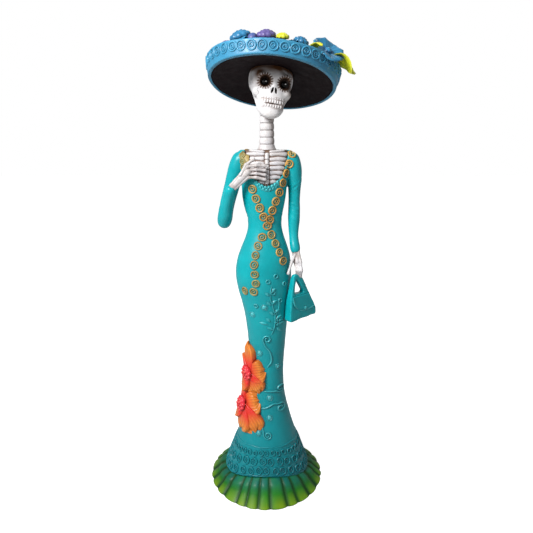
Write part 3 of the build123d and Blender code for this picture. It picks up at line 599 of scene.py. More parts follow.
def ruffle():
    """The gathered paper ruffle: wide rounded flutes with tight folds between them."""
    around = FLUTES * 18
    turn = np.linspace(0, 2 * np.pi, around, endpoint=False)
    phase = FLUTES * turn + 0.9 * np.sin(3 * turn + 1.0) + 0.6 * np.sin(7 * turn + 2.1)
    phase = phase + 0.4 * np.sin(13 * turn)
    u = np.abs((phase / np.pi + 1) % 2 - 1)
    flute = 1 - 2 * u**2.4
    size = 1 + 0.18 * np.sin(5 * turn + 0.6) + 0.12 * np.sin(11 * turn + 4)
    outer = np.linspace(0, 1, 30)
    sheets = [(t, 0.0) for t in outer] + [(1.0, 0.5)] + [(t, 1.0) for t in outer[::-3]]
    drop, spread = hem_dip(turn, SEAM_Z)
    seam_radius, seam_z = SEAM_RADIUS + 0.75 * spread, SEAM_Z - drop
    rows, downs, folds = [], [], []
    for t, inside in sheets:
        swell = 0.45 * np.exp(-(((t - 0.16) / 0.13) ** 2))
        amplitude = (0.5 + 1.15 * t**0.8 * (1 - 0.5 * t) + swell) * size * (1 - 0.42 * t**4)
        belly = 1.7 * np.exp(-(((t - 0.2) / 0.2) ** 2)) - 2.2 * (1 - t) ** 6
        radius = seam_radius + (RIM_RADIUS - seam_radius) * t**0.95 + belly
        radius = radius + amplitude * flute - PAPER * inside
        z = seam_z * (1 - t) ** 1.08 + 0.9 - 0.9 * inside * (t < 1) - 0.9 * (inside == 0.5)
        z = z + 0.25 * t * np.sin(4 * turn + 1) * (inside == 0)
        rows.append(round_rows(radius, turn, np.maximum(z, 0.0)))
        downs.append(np.full(around, t))
        # Painted shade: dark in the valleys between flutes, towards the figure's sides, and over the whole
        # inner face.
        valley = np.clip((u - 0.38) / 0.5, 0, 1) ** 1.4 * 0.9
        shade = valley + 0.45 * np.sin(turn) ** 4 * (1 - 0.4 * t)
        folds.append(shade if inside == 0 else np.full(around, 0.8))
    faces = grid_faces(len(rows), around, wrap_rows=True, wrap_columns=True)
    downs = np.concatenate(downs) + 0.07 * np.tile(flute, len(rows))
    masks = {"down": downs, "fold_shade": np.concatenate(folds)}
    make_object("hem_ruffle_flutes", np.concatenate(rows), faces, RUFFLE, "figure", masks,
                ["hem_ruffle"])


# Lace rows: height, count, ring radius; and the cords above and below them.
LACE_ROWS = [(29.8, 28, 3.35), (38.7, 25, 3.5), (46.8, 34, 2.2)]
LACE_CORDS = (24.9, 52.6)


def lace(skin):
    """Three rows of pasted rings between two cords, on the skirt above the ruffle."""
    rings = Pile()
    for row, (height, count, radius) in enumerate(LACE_ROWS):
        for n in range(count):
            angle = 360 * (n + 0.5 * row) / count + rng.uniform(-1.2, 1.2)
            level = height - hem_dip(math.radians(angle), height)[0]
            centre, normal = skin.round(angle, level + rng.uniform(-0.5, 0.5))
            size = radius * rng.uniform(0.92, 1.06)
            ring(skin, rings, centre, normal, size, 0.85, 1.6, squash=1.15)
            if row < 2:
                curl(skin, rings, centre, normal, size * 0.42, 0.6, 1.1, 1.2, rng.uniform(0, 6))
            else:
                dot(skin, rings, centre, normal, 0.8, 0.9)
    rings.make("lace_curls", LACE, "figure", ["lace_rings"])
    cords = Pile()
    for height in LACE_CORDS:
        spots = []
        for angle in np.linspace(0, 360, 150, endpoint=False):
            level = height - hem_dip(math.radians(angle), height)[0]
            spots.append(skin.round(angle, level + 0.4 * math.sin(math.radians(angle * 9))))
        ridge(cords, [place for place, _ in spots], [normal for _, normal in spots], 0.9, 0.95, closed=True)
    cords.make("lace_cords", LACE, "figure", ["hem_cords"])


# ------------------------------------------------------------------ gold chain and frill
RIGHT_CHAIN = [(-13.3, 324), (-6.8, 307), (1.2, 288), (9.2, 270.5), (16.3, 254)]
LEFT_CHAIN = [(24.0, 356), (19.6, 341), (13.5, 323.5), (6.3, 305.5), (1.2, 288), (-8, 270), (-12, 252),
              (-10.5, 233)]
HIP_CHAIN = [(-12.6, 224), (-21.5, 223.5)]
SHOULDER_PATCH = [(-19.0, 357.5), (-23.0, 355), (-18.0, 352.5), (-22.5, 349.5), (-18.5, 347), (-22.0, 344),
                  (-18.8, 341.5), (-21.0, 338.5)]
PATCH_LINE = [(-20.5, 358), (-21, 350), (-20.5, 343), (-20, 336)]
CROSSING_Z = 288  # the height at which the two strands cross


def chain(skin):
    """Two strands of gold rosettes crossing at the waist, and a patch at the shoulder."""
    links = Pile()
    places = [(p, 3.4) for p in curve(RIGHT_CHAIN, 9)]
    places += [(p, 3.4) for p in curve(LEFT_CHAIN, 15) if abs(p[1] - CROSSING_Z) > 5]
    places += [(np.array(p), 3.3) for p in HIP_CHAIN] + [(np.array(p), 2.5) for p in SHOULDER_PATCH]
    ridge(links, *skin.trace(curve(PATCH_LINE, 24)), 4.6, 0.7, across=11)
    for (x, z), size in places:
        centre, normal = skin.front(x, z)
        ring(skin, links, centre, normal, size * rng.uniform(0.98, 1.08), 1.0, 1.45)
        curl(skin, links, centre, normal, size * 0.52, 0.7, 1.2, 1.15, rng.uniform(0, 6))
    links.make("gold_rosettes", GOLD, "figure", ["chain_rosettes"])


FRILL = [(-12.0, 333.0), (-7.0, 328.0), (0.5, 324.6), (8.0, 327.4), (12.5, 332.0)]


def frill(skin):
    """A gathered strip along the bottom of the neckline."""
    pleats = Pile()
    count = 90
    path = curve(FRILL, count)
    centres, _ = laid(skin, skin.trace(path)[0])
    share = np.linspace(0, 1, count)
    for drop, height in ((0.6, 1.4), (-1.8, 1.0)):
        wave = np.sin(share * 2 * np.pi * 9 + drop)
        lifted = centres + np.array([0, 0, 1.0]) * (drop + 0.75 * wave)[:, None]
        lifted, facing = laid(skin, lifted)
        ridge(pleats, lifted, facing, 1.25 + 0.4 * wave, height + 0.35 * wave, across=9)
    pleats.make("neckline_ruffle", HIGHLIT_TEAL_RELIEF, "figure", ["neckline_frill"])


# ------------------------------------------------------------------ skirt relief
def spiral(tail, centre, start, radius, turns):
    """A tail running into a curl, as (x, z) places in the front view."""
    share = np.linspace(0, 1, 40)
    reach = radius * (1 - 0.72 * share)
    angle = np.radians(start + 360 * turns * share)
    curled = np.stack([centre[0] + reach * np.cos(angle), centre[1] + reach * np.sin(angle)], 1)
    return np.concatenate([curve(tail + [tuple(curled[0])], 26)[:-1], curled])


SCROLLS = [
    spiral([(0.5, 139), (5.0, 147), (3.6, 157), (-1.0, 164)], (0.6, 172), -160, 4.2, -1.4),
    spiral([(-3.5, 112.5), (2.5, 112)], (14.2, 113.5), 215, 4.2, 1.4),
    spiral([(-7.0, 92.5), (0.0, 94), (7.5, 97.5)], (15.0, 92), 110, 4.6, -1.4),
    spiral([(-4.5, 75), (-3.4, 69)], (1.4, 65), 190, 4.0, 1.5),
]
SKIRT_DOTS = [(-14.4, 198.3), (-2.2, 207.6), (-7.3, 155.2), (3.3, 104.6), (3.3, 83.1), (-8.5, 66.5),
              (12.0, 139)]
SMALL_RINGS = [(13.5, 214), (17.5, 231), (1.5, 235), (9.0, 240), (-10.5, 209), (6.5, 223)]
SPRIG_STEMS = [[(4.5, 176), (8.0, 186), (8.5, 197), (6.0, 209), (3.5, 219), (5.0, 231)],
               [(8.5, 197), (12.0, 206), (12.5, 213)]]
# Leaves and petals on the sprig: x, height, lean from upright in degrees, length.
SPRIG_LEAVES = [(-3.0, 190, 80, 8), (1.5, 194, 45, 6), (3.5, 184, 65, 7), (12.5, 182, -140, 8),
                (14.5, 189, -75, 7), (5.0, 201, 50, 6), (10.5, 203, -50, 6), (2.0, 212, 50, 6),
                (7.5, 213, -45, 6), (0.5, 222, 48, 5), (6.8, 226, -40, 5), (12.0, 196, -55, 6)]
SPRIG_STAR = (11.5, 190.5)


def leaning(degrees):
    """A direction in the front view, turned left from upright."""
    return np.array([-math.sin(math.radians(degrees)), math.cos(math.radians(degrees))])


def sprig_leaf(skin, pile, middle, lean, length, half_width):
    """A pointed raised leaf round its middle."""
    spots = [middle + leaning(lean) * reach for reach in np.linspace(-length / 2, length / 2, 12)]
    width = half_width * np.sin(np.linspace(0.12, np.pi - 0.12, 12))
    ridge(pile, *skin.trace(spots), width, 1.4, taper=False)


def skirt_relief(skin):
    """Scrolls, dabs, small rings and a leafy sprig, raised on the skirt."""
    lines = Pile()
    for path in SCROLLS:
        ridge(lines, *skin.trace(path), 1.05, 1.75)
    lines.make("scrolls", HIGHLIT_TEAL_RELIEF, "figure", ["skirt_scrolls"])
    dabs = Pile()
    for x, z in SKIRT_DOTS:
        centre, normal = skin.front(x, z)
        dot(skin, dabs, centre, normal, 3.0, 1.5)
        ring(skin, dabs, centre, normal, 3.0, 0.6, 1.0)
    for x, z in SMALL_RINGS:
        ring(skin, dabs, *skin.front(x, z), 1.9, 0.7, 1.25)
    dabs.make("dabs", HIGHLIT_TEAL_RELIEF, "figure", ["skirt_dots"])
    sprig = Pile()
    for stem in SPRIG_STEMS:
        ridge(sprig, *skin.trace(curve(stem, 30)), 0.7, 1.2)
    for x, z, lean, length in SPRIG_LEAVES:
        sprig_leaf(skin, sprig, (x, z), lean, length, 1.7)
    for lean in range(20, 380, 72):
        sprig_leaf(skin, sprig, SPRIG_STAR + 2.4 * leaning(lean), lean, 3.6, 1.4)
    sprig.make("sprig", HIGHLIT_TEAL_RELIEF, "figure", ["skirt_sprig"])


# ------------------------------------------------------------------ big flowers on the skirt
# Word, lowest layer, heart (angle, height, lift), petals (tip angle, tip height, lift at the tip).
SKIRT_FLOWERS = [
    ("lower", 0, (-66.0, 93.0, 10.0),
     [(-24, 100, 2.8), (-27, 67, 2.4), (-76, 62, 4.5), (-114, 77, 9.5), (-114, 108, 9.5)]),
    ("upper", 3, (-60.0, 131.0, 8.5),
     [(-82, 162, 3.5), (-6, 136, 2.0), (-26, 109, 2.5), (-100, 110, 9.5), (-120, 138, 8.0)]),
]
PETAL_HALF_WIDTH = 13.2
PETAL_RADIUS = 21.0  # the skirt's radius under the flowers, which turns angles into mm
# Rings of lobes in a flower's middle: count, reach, height, lobe radii.
KNOB_LOBES = [(9, 6.6, 0.4, (2.6, 1.5, 2.4)), (7, 4.2, 1.9, (2.2, 1.2, 2.4)), (4, 1.9, 3.2, (1.6, 1.1, 2.0))]


def skirt_petal(skin, pile, heart, tip, width, layer, seed):
    """One broad petal laid round the skirt, solid down to it, with fanned grooves."""
    along, across = 32, 65
    angle0, z0, lift0 = heart
    angle1, z1, lift1 = tip
    axis = np.array([math.radians(angle1 - angle0) * PETAL_RADIUS, z1 - z0])
    length = np.linalg.norm(axis)
    axis = axis / length
    side = np.array([-axis[1], axis[0]])
    marks = np.random.default_rng(seed)
    top, streaks, hearts = [], [], []
    v = np.linspace(-1, 1, across)
    groove = np.abs(np.sin(v * 9 * np.pi / 2 + marks.uniform(0, 3))) ** 0.6
    for u in np.linspace(0, 1, along):
        fan = width * (0.42 + 0.58 * np.sin(min(u / 0.68, 1) * np.pi / 2))
        if u > 0.68:
            fan *= math.sqrt(max(1 - ((u - 0.68) / 0.33) ** 2, 0.004))
        wave = 1 + 0.05 * np.sin(v * 6 + seed) * u + 0.012 * np.sin(v * 15 + 2 * seed) * u
        flat = axis * (length * u * wave)[:, None] + side * (fan * v)[:, None]
        body = lift1 + (lift0 - 2.0 - lift1) * (1 - u) ** 0.8 + 0.35 * layer
        height = body - 0.5 * groove * u + 0.9 * np.abs(v) ** 2 * u * math.sin(u * 3)
        edge = np.clip((1 - np.abs(v)) / 0.12, 0, 1) ** 0.5 * min((1 - u) / 0.2, 1) ** 0.5
        row = []
        for (ds, dz), lift in zip(flat, height * edge - 0.3):
            place, normal = skin.round(angle0 + math.degrees(ds / PETAL_RADIUS), z0 + dz)
            row.append(place + unit(normal) * lift)
        top.append(row)
        streaks.append((1 - groove) * 0.7 * min(u * 1.5, 1))
        hearts.append(np.full(across, 0.97 * np.clip((0.74 - u) / 0.42, 0, 1)))
    pile.add(top, grid_faces(along, across)[:, ::-1], streak=streaks, heart=hearts)


def ruffled_knob(centre, axis, scale, step, soft=0.35):
    """A flower's middle: rings of little folded lobes round a bud, 7.4 mm in radius at scale 1."""
    level, up = tangent_axes(axis)
    turn = np.stack([level, up, axis], 1)
    lobes = []
    for count, reach, height, size in KNOB_LOBES:
        for n in range(count):
            a = 2 * np.pi * (n + 0.37 * height) / count
            spot = centre + turn @ (scale * np.array([reach * math.cos(a), reach * math.sin(a), height]))
            twist = np.array(Matrix.Rotation(a + 1.2, 3, "Z") @ Matrix.Rotation(0.5, 3, "Y"))
            lobes.append((spot, scale * np.array(size), turn @ twist))

    def field(p):
        shape = egg(p, centre, scale * np.array((7.4, 7.4, 3.2)), turn)
        for spot, size, twist in lobes:
            shape = join(shape, egg(p, spot, size, twist), soft * scale)
        return shape

    return surface_net(field, centre - 12 * scale, centre + 12 * scale, step)


def flower_heart(skin, name, heart, node):
    """The ruffled middle of a flower on the skirt."""
    angle, z, lift = heart
    place, normal = skin.round(angle, z)
    normal = unit(normal)
    points, faces = ruffled_knob(place + normal * (lift - 1.2), normal, 1.0, 0.36)
    make_object(name, points, faces, HEART, "figure", hides=[node])


def skirt_flowers(skin):
    """Two orange five-petalled flowers, the upper one overlapping the lower."""
    for word, base, heart, petals in SKIRT_FLOWERS:
        pile = Pile()
        for n, tip in enumerate(petals):
            skirt_petal(skin, pile, heart, tip, PETAL_HALF_WIDTH, base + n % 2, 10 * base + n)
        pile.make(f"{word}_petals", PETAL, "figure", [f"{word}_flower_petals"])
        flower_heart(skin, f"{word}_heart", heart, f"{word}_flower_heart")


# ------------------------------------------------------------------ chest
RIB_HEIGHTS = [330.2 + 4.3 * n for n in range(7)]
RIB_REACH = [10.0, 13.0, 15.5, 17.5, 19.0, 20.0, 20.5]
BREASTBONE_X = 0.5
BREASTBONE_PLATES = [(328.5, 333.6), (333.4, 338.0), (337.8, 342.4), (342.2, 346.8), (346.6, 351.2),
                     (351.0, 357.5)]


def chest():
    """Ribs and breastbone raised on the brown chest, a collar bone over each side."""
    core = remeshed("chest_block", ["chest_core"], 0.8, 4, CHEST, "figure")
    skin = Skin(core)
    bones = Pile()
    for height, reach in zip(RIB_HEIGHTS, RIB_REACH):
        for side in (-1, 1):
            share = np.linspace(0, 1, 26)
            sag = rng.uniform(-0.3, 0.3)
            across = BREASTBONE_X + side * (2.0 + (reach - 2.0) * share)
            level = height + 0.7 * np.sin(share * np.pi) - 0.6 * share + sag
            centres, normals = skin.trace(zip(across, level))
            swell = 1 + 0.1 * np.sin(np.linspace(0, 9, len(centres)) + rng.uniform(0, 6))
            ridge(bones, centres, normals, 2.12 * swell, 1.35 * swell, across=11)
    for side in (-1, 1):
        collar = [(BREASTBONE_X + side * (2 + 15 * s), 358.2 + 1.2 * s) for s in np.linspace(0, 1, 20)]
        ridge(bones, *skin.trace(collar), 1.5, 1.7, across=9)
    bones.make("rib_bones", BONE, "figure", ["ribs"])
    plates = Pile()
    for low, high in BREASTBONE_PLATES:
        ridge(plates, *skin.trace((BREASTBONE_X, z) for z in np.linspace(low, high, 12)), 2.3, 2.1, across=11)
    plates.make("breastbone_plates", BONE, "figure", ["breastbone"])


# ------------------------------------------------------------------ hands
def bony_hand(name, node, wrist, fingers, thumb, radius, inward):
    """A skeleton hand: a bundle of palm bones, jointed fingers and a thumb; inward is the palm's side."""
    inward = np.asarray(inward, float)
    wrist = np.asarray(wrist, float)
    spots = np.concatenate([[wrist], *[np.array(f, float) for f in fingers], np.array(thumb, float)])

    def field(p):
        knuckles = np.mean([finger[0] for finger in fingers], axis=0) + inward * radius * 0.8
        shape = rod(p, wrist + inward * radius * 0.8, knuckles, radius * 2.2, radius * 2.5)
        spread = unit(np.array(fingers[0][0], float) - np.array(fingers[3][0]))
        for n, finger in enumerate(fingers):
            root = wrist + spread * radius * 1.3 * (1.5 - n)
            shape = join(shape, bone_chain(p, [root, finger[0]], radius * 1.15, radius * 0.95), 0.12)
            shape = join(shape, bone_chain(p, finger, radius * 1.1, radius * 0.84), 0.3)
        return join(shape, bone_chain(p, thumb, radius * 1.1, radius * 0.84), 0.4)

    points, faces = surface_net(field, spots.min(0) - 4, spots.max(0) + 4, 0.32)
    # Brown over the whole hand, heavier towards the wrist by the sleeve: partly washed-on brown, partly
    # painted shade.
    low = np.linalg.norm(points - wrist, axis=1)
    masks = {"wash": 0.12 + 0.35 * np.clip(1 - low / 9, 0, 1), "dark": np.zeros(len(points))}
    make_object(name, points, faces, SHADED_BONE, "figure", masks, [node])


def hands():
    """The right hand lies on the ribs; the left holds the bag's handle."""
    fingers = [[(-17.5, -20.5 + 0.3 * n, 345.5 - 3.3 * n), (-9.5, -20.2, 346.5 - 3.6 * n),
                (-1.5, -18.4 - 0.3 * n, 346 - 4.1 * n)] for n in range(4)]
    thumb = [(-24, -20.5, 338), (-19, -20.5, 347), (-12, -19, 352)]
    bony_hand("right_hand_bones", "right_hand", (-33.6, -17.5, 324.5), fingers, thumb, 1.55, (0, 1, 0))
    fingers = [[(28.2 + 1.9 * n, -9.5 - 0.8 * n, 252), (30 + 1.6 * n, -14 - 0.4 * n, 244),
                (30.4 + 1.3 * n, -11.5 + 0.3 * n, 236.5)] for n in range(4)]
    thumb = [(28.5, -9.5, 259), (25, -12.5, 252), (21.6, -16.5, 241.5)]
    bony_hand("left_hand_bones", "left_hand", (28.9, -6, 262.5), fingers, thumb, 1.45, (0, 0.8, 0))


# ------------------------------------------------------------------ handbag
BAG_CORNER = np.array([24.5, -20.0, 190.0])
BAG_TURN = math.radians(40)
BAG_ACROSS = np.array([math.cos(BAG_TURN), math.sin(BAG_TURN), 0])
BAG_OUT = np.array([math.sin(BAG_TURN), -math.cos(BAG_TURN), 0])
FLAP_EDGE = [(2.0, 27.0), (5.2, 17.0), (12.0, 11.6), (20.5, 10.2), (28.0, 11.2), (33.0, 13.2)]


def bag():
    """The handbag with its pressed edge line, flap and button."""
    body = remeshed("bag_paper", ["bag_body"], 0.7, 16, TEAL, "figure")
    reshape(body, lambda points, normals: points + normals * 0.25 * bump_field(points, 16, 8)[:, None])
    flap = remeshed("bag_flap_paper", ["bag_flap"], 0.35, 4, TEAL, "figure")
    skin = Skin(body, flap)
    edge = Pile()
    spots = [BAG_CORNER + BAG_ACROSS * u + (0, 0, z) for u, z in curve(FLAP_EDGE, 60)]
    hits = [skin.hit(spot + BAG_OUT * 30, -BAG_OUT) for spot in spots]
    ridge(edge, [place for place, _ in hits], [normal for _, normal in hits], 0.7, 0.7)
    edge.make("bag_flap_cord", HIGHLIT_TEAL_RELIEF, "figure")
    remeshed("bag_button_dab", ["bag_button"], 0.25, 3, HIGHLIT_TEAL_RELIEF, "figure")


# ------------------------------------------------------------------ neck
NECK = np.array([0.3, 1.5])
NECK_BOTTOM, NECK_TOP, COLLAR_BOTTOM = 365.05, 404.0, 360.05
VERTEBRAE = 6
DOWEL_RADIUS = 2.5
NECK_ROOM, DOWEL_ROOM, DOWEL_TOP = 7.6, 2.7, 419.2  # radii and top of the recess in the skull


def lathe(profile, around, wobble=0.0, seed=0):
    """A closed profile (radius, height) turned about Z, slightly out of round."""
    turn = np.linspace(0, 2 * np.pi, around, endpoint=False)
    shake = np.random.default_rng(seed)
    uneven = sum(np.sin(k * turn + shake.uniform(0, 6)) / k for k in (2, 3, 5, 9))
    rows = [round_rows(r + wobble * uneven, turn, z) for r, z in profile]
    return np.concatenate(rows), grid_faces(len(profile), around, wrap_rows=True, wrap_columns=True)


def neck():
    """Six stacked vertebrae over a flared collar, all bone-painted, on a wooden dowel."""
    around = 72
    heights = np.linspace(NECK_BOTTOM, NECK_TOP, 15 * VERTEBRAE + 1)
    taper = (heights - NECK_BOTTOM) / (NECK_TOP - NECK_BOTTOM)
    share = taper * VERTEBRAE % 1
    groove = np.exp(-((np.minimum(share, 1 - share) / 0.06) ** 2))
    radii = 7.3 - 1.0 * taper**0.7 - 0.15 * np.cos(2 * np.pi * share) - 0.5 * groove
    profile = [(DOWEL_RADIUS, NECK_TOP), (DOWEL_RADIUS, NECK_BOTTOM)] + list(zip(radii, heights))
    points, faces = lathe(profile, around, 0.12, 5)
    ringed = np.concatenate([[0, 0], groove])
    # Painted shade: brown growing towards +X, the side away from the key lamp.
    side = points[:, 0] / 6
    points[:, :2] += NECK
    masks = {"dark": np.repeat(ringed, around) * 0.7, "wash": np.clip(0.7 * side - 0.2, 0, 0.5)}
    make_object("neck_bones", points, faces, BONE, "neck", masks, ["neck_vertebrae"])
    flare = [(9.4 - 2.2 * t**0.6, COLLAR_BOTTOM + 5.0 * t) for t in np.linspace(0, 1, 12)]
    profile = [(DOWEL_RADIUS, NECK_BOTTOM), (DOWEL_RADIUS, COLLAR_BOTTOM)] + flare
    points, faces = lathe(profile, around, 0.15, 6)
    points[:, :2] += NECK
    none = np.zeros(len(points))
    masks = {"dark": none, "wash": none + 0.12}
    make_object("neck_flare", points, faces, BONE, "neck", masks, ["neck_collar"])


# ------------------------------------------------------------------ head
class Place:
    """A leaning frame: its own mm to the shared mm, and back."""

    def __init__(self, shift, lean):
        turns = [Matrix.Rotation(math.radians(a), 3, axis) for a, axis in zip(lean, "XYZ")]
        self.turn = np.array(turns[0] @ turns[1] @ turns[2])
        self.shift = np.array(shift)

    def out(self, points):
        return np.asarray(points) @ self.turn.T + self.shift

    def back(self, points):
        return (points - self.shift) @ self.turn

    def way(self, direction):
        return self.turn @ np.asarray(direction, float)


HEAD = Place((6.0, 0.5, 416.0), (-6, 7.5, 5))
HAT = Place((5.0, 3.0, 418.5), (-18, 5.5, 0))
EYE_X, EYE_Z = 8.9, 1.5
SOCKET_Y = -17.0
MOUTH_Z, TOOTH_STEP = -17.5, 2.3
EYE_PETALS = 18


def skull_field(points):
    """The skull in its own frame, with sockets, nose, mouth and the room for the neck."""
    p = HEAD.back(points)
    shape = egg(p, (-2.8, 1.5, 6.5), (20.8, 19.6, 20.2))
    shape = join(shape, egg(p, (-1.4, -6.5, -8), (16.4, 12.6, 17.5)), 5)
    shape = join(shape, egg(p, (-0.6, -9, -19), (12.0, 9.2, 10.2)), 3)
    shape = join(shape, egg(p, (0, -13.5, -24.5), (7.4, 4.4, 4.6)), 3)
    for side in (-1, 1):
        shape = join(shape, egg(p, (side * 13.4 - 1.2, -9.5, -6.5), (4.2, 6.6, 3.4)), 3)
        shape = join(shape, egg(p, (side * EYE_X, -15.2, 7.2), (6.4, 3.2, 2.2)), 2.5)
        shape = carve(shape, egg(p, (side * 20.6 - 2.6, -6, 3), (2.2, 6, 7)), 2.5)
        shape = carve(shape, egg(p, (side * 15.2 - 1, -9, -15.5), (3.0, 5.5, 4.2)), 3)
    shape = join(shape, egg(p, (0, -17.2, -2.2), (2.4, 2.6, 4.4)), 2.2)
    shape = join(shape, egg(p, (0, -15.3, MOUTH_Z), (9.6, 3.6, 5.4)), 2.5)
    for side in (-1, 1):
        shape = carve(shape, egg(p, (side * EYE_X, SOCKET_Y, EYE_Z), (4.7, 5.4, 4.7)), 0.8)
        lean = np.array(Matrix.Rotation(math.radians(-14 * side), 3, "Y"))
        shape = carve(shape, egg(p, (side * 1.6, -18.6, -5.8), (0.95, 3.4, 2.5), lean), 0.4)
    shape = carve(shape, egg(p, (0, -18.5, MOUTH_Z + 0.2), (10.0, 2.0, 0.3)), 0.4)
    flat = points[:, :2] - NECK
    away = np.linalg.norm(flat, axis=1)
    shape = np.maximum(shape, -np.maximum(away - NECK_ROOM, points[:, 2] - NECK_TOP - 0.1))
    return np.maximum(shape, -np.maximum(away - DOWEL_ROOM, points[:, 2] - DOWEL_TOP))


def face_spot(skin, x, z):
    """The place and outward normal met from straight in front in the head's own frame."""
    place, normal = skin.hit(HEAD.out((x, -60, z)), HEAD.way((0, 1, 0)))
    return place, unit(normal)


def ovals(name, spots, step, material, node, stain=0.0):
    """A row of separate rounded beads [(centre, radii, 3x3 axes)] in one piece, on the head."""
    beads = Pile()
    for centre, radii, axes in spots:
        reach = max(radii) + 0.3
        low, high = centre - reach, centre + reach
        points, faces = surface_net(lambda p: egg(p, centre, radii, axes), low, high, step)
        beads.add(points, faces, wash=np.full(len(points), stain), dark=np.zeros(len(points)))
    return beads.make(name, material, "head", [node])


def facing_axes(normal, spin=0.0):
    """Axes across, along the normal, and up, turned by spin about the normal."""
    up = unit(HEAD.way((0, 0, 1)) - normal * (normal @ HEAD.way((0, 0, 1))))
    across = np.cross(normal, up)
    turned, upright = math.cos(spin), math.sin(spin)
    return np.stack([across * turned + up * upright, normal, up * turned - across * upright], 1)


def blot(p, x, z, wide, tall, power=2):
    """A soft stain round (x, z) on the face, 1 in its middle."""
    return np.exp(-(((p[:, 0] - x) / wide) ** power) - ((p[:, 2] - z) / tall) ** power)


def tooth_row(skin, count, height, sink, radii):
    """Teeth centred on the mouth; radii(n) gives the size of each."""
    row = []
    for n in range(count):
        place, normal = face_spot(skin, TOOTH_STEP * (n - (count - 1) / 2), MOUTH_Z + height)
        row.append((place - normal * sink, radii(n), facing_axes(normal)))
    return row


def skull():
    """The painted skull, its petal-rimmed eyes and its rows of teeth."""
    step = 0.42
    points, faces = surface_net(skull_field, np.array((-17, -26, 382)), np.array((29, 26, 446)), step)
    p = HEAD.back(points)
    front = p[:, 1] < -4
    # Brown over the top of the forehead: partly washed-on brown, partly painted shadow of the hat brim.
    wash = 0.95 * np.clip((p[:, 2] - 8.5) / 5, 0, 1)
    wash += 0.85 * blot(p, -15, 6, 4, 7) + 0.5 * blot(p, 10.5, -19, 3, 4)
    wash += 0.4 * np.exp(-(((p[:, 0] - 15.5) / 3.5) ** 2)) * (p[:, 2] < 8)
    wash += 0.6 * blot(p, 0, MOUTH_Z + 1, 10, 4.6, 4) * front
    wash += 0.3 * bump_field(p, 9, 21) * (wash > 0.1)
    dark = np.zeros(len(p))
    for side in (-1, 1):
        away = np.hypot(p[:, 0] - side * EYE_X, p[:, 2] - EYE_Z)
        ray = np.arctan2(p[:, 0] - side * EYE_X, p[:, 2] - EYE_Z) * EYE_PETALS
        wash += np.clip((6.6 + 1.1 * np.cos(ray + np.pi) - away) / 0.5, 0, 1) * front
        dark += np.clip((6.2 + 1.3 * np.cos(ray + np.pi) - away) / 0.6, 0, 0.62) * front
        dark += np.clip((4.6 - away) / 0.8, 0, 0.3) * front
        slit = np.hypot((p[:, 0] - side * (1.6 - 0.25 * (p[:, 2] + 5.8))) / 0.95, (p[:, 2] + 5.8) / 2.5)
        dark += np.clip((1.15 - slit) / 0.3, 0, 1) * front
    squiggle = -14.2 + 1.1 * np.sin(1.2 * p[:, 2])
    line = np.exp(-(((p[:, 0] - squiggle) / 0.35) ** 2)) * (np.abs(p[:, 2] + 8.5) < 3.5)
    dark += 0.7 * line * front
    masks = {"wash": wash, "dark": dark}
    bone_skull = make_object("skull_bone", points, faces, SKULL_BONE, "head", masks, ["skull"])
    skin = Skin(bone_skull)

    fine = 0.24
    upper = tooth_row(skin, 9, 2.3, 0.4, lambda n: (1.12, 1.0, 1.75 + 0.2 * math.sin(3 * n)))
    upper += tooth_row(skin, 9, 5.0, 0.3, lambda n: (1.14, 0.75, 0.85))
    lower = tooth_row(skin, 8, -1.75, 0.4, lambda n: (1.1, 1.0, 1.55 + 0.2 * math.sin(4 * n)))
    ovals("upper_tooth_row", upper, fine, SKULL_BONE, "upper_teeth", 0.08)
    ovals("lower_tooth_row", lower, fine, SKULL_BONE, "lower_teeth", 0.1)

    petals, discs, glints = [], [], []
    for side in (-1, 1):
        for n in range(EYE_PETALS):
            turn = 2 * np.pi * n / EYE_PETALS
            x, z = side * EYE_X + 6.5 * math.sin(turn), EYE_Z + 6.5 * math.cos(turn)
            place, normal = face_spot(skin, x, z)
            petals.append((place - normal * 0.2, (0.5, 0.62, 1.05), facing_axes(normal, -turn)))
        axes = HEAD.turn
        discs.append((HEAD.out((side * EYE_X, SOCKET_Y + 4.4, EYE_Z)), (3.0, 1.7, 3.0), axes))
        glints.append((HEAD.out((side * EYE_X + 1.0, SOCKET_Y + 2.9, EYE_Z + 0.3)), (0.6, 0.5, 0.6), axes))
    ovals("eye_petal_rim", petals, fine, SKULL_BONE, "eye_petals", 0.22)
    ovals("eye_pupils", discs, fine, BLACK, "eye_discs")
    ovals("eye_lights", glints, 0.15, GLINT, "eye_glints")


# ------------------------------------------------------------------ hat
HAT_RADIUS, BAND_FLARE, BAND_WALL = 59.5, 3.0, 3.0
BRIM_RISE, BRIM_SHEET, CROWN_RADIUS, CROWN_TOP = 9.0, 2.6, 22.0, 30.0
BAND_ROSETTES = 42


def band_height(turn):
    """The band is lowest in front and highest at the sides, as it was bent by hand."""
    return 15.2 - 2.0 * np.cos(turn) - 1.5 * np.cos(2 * turn)


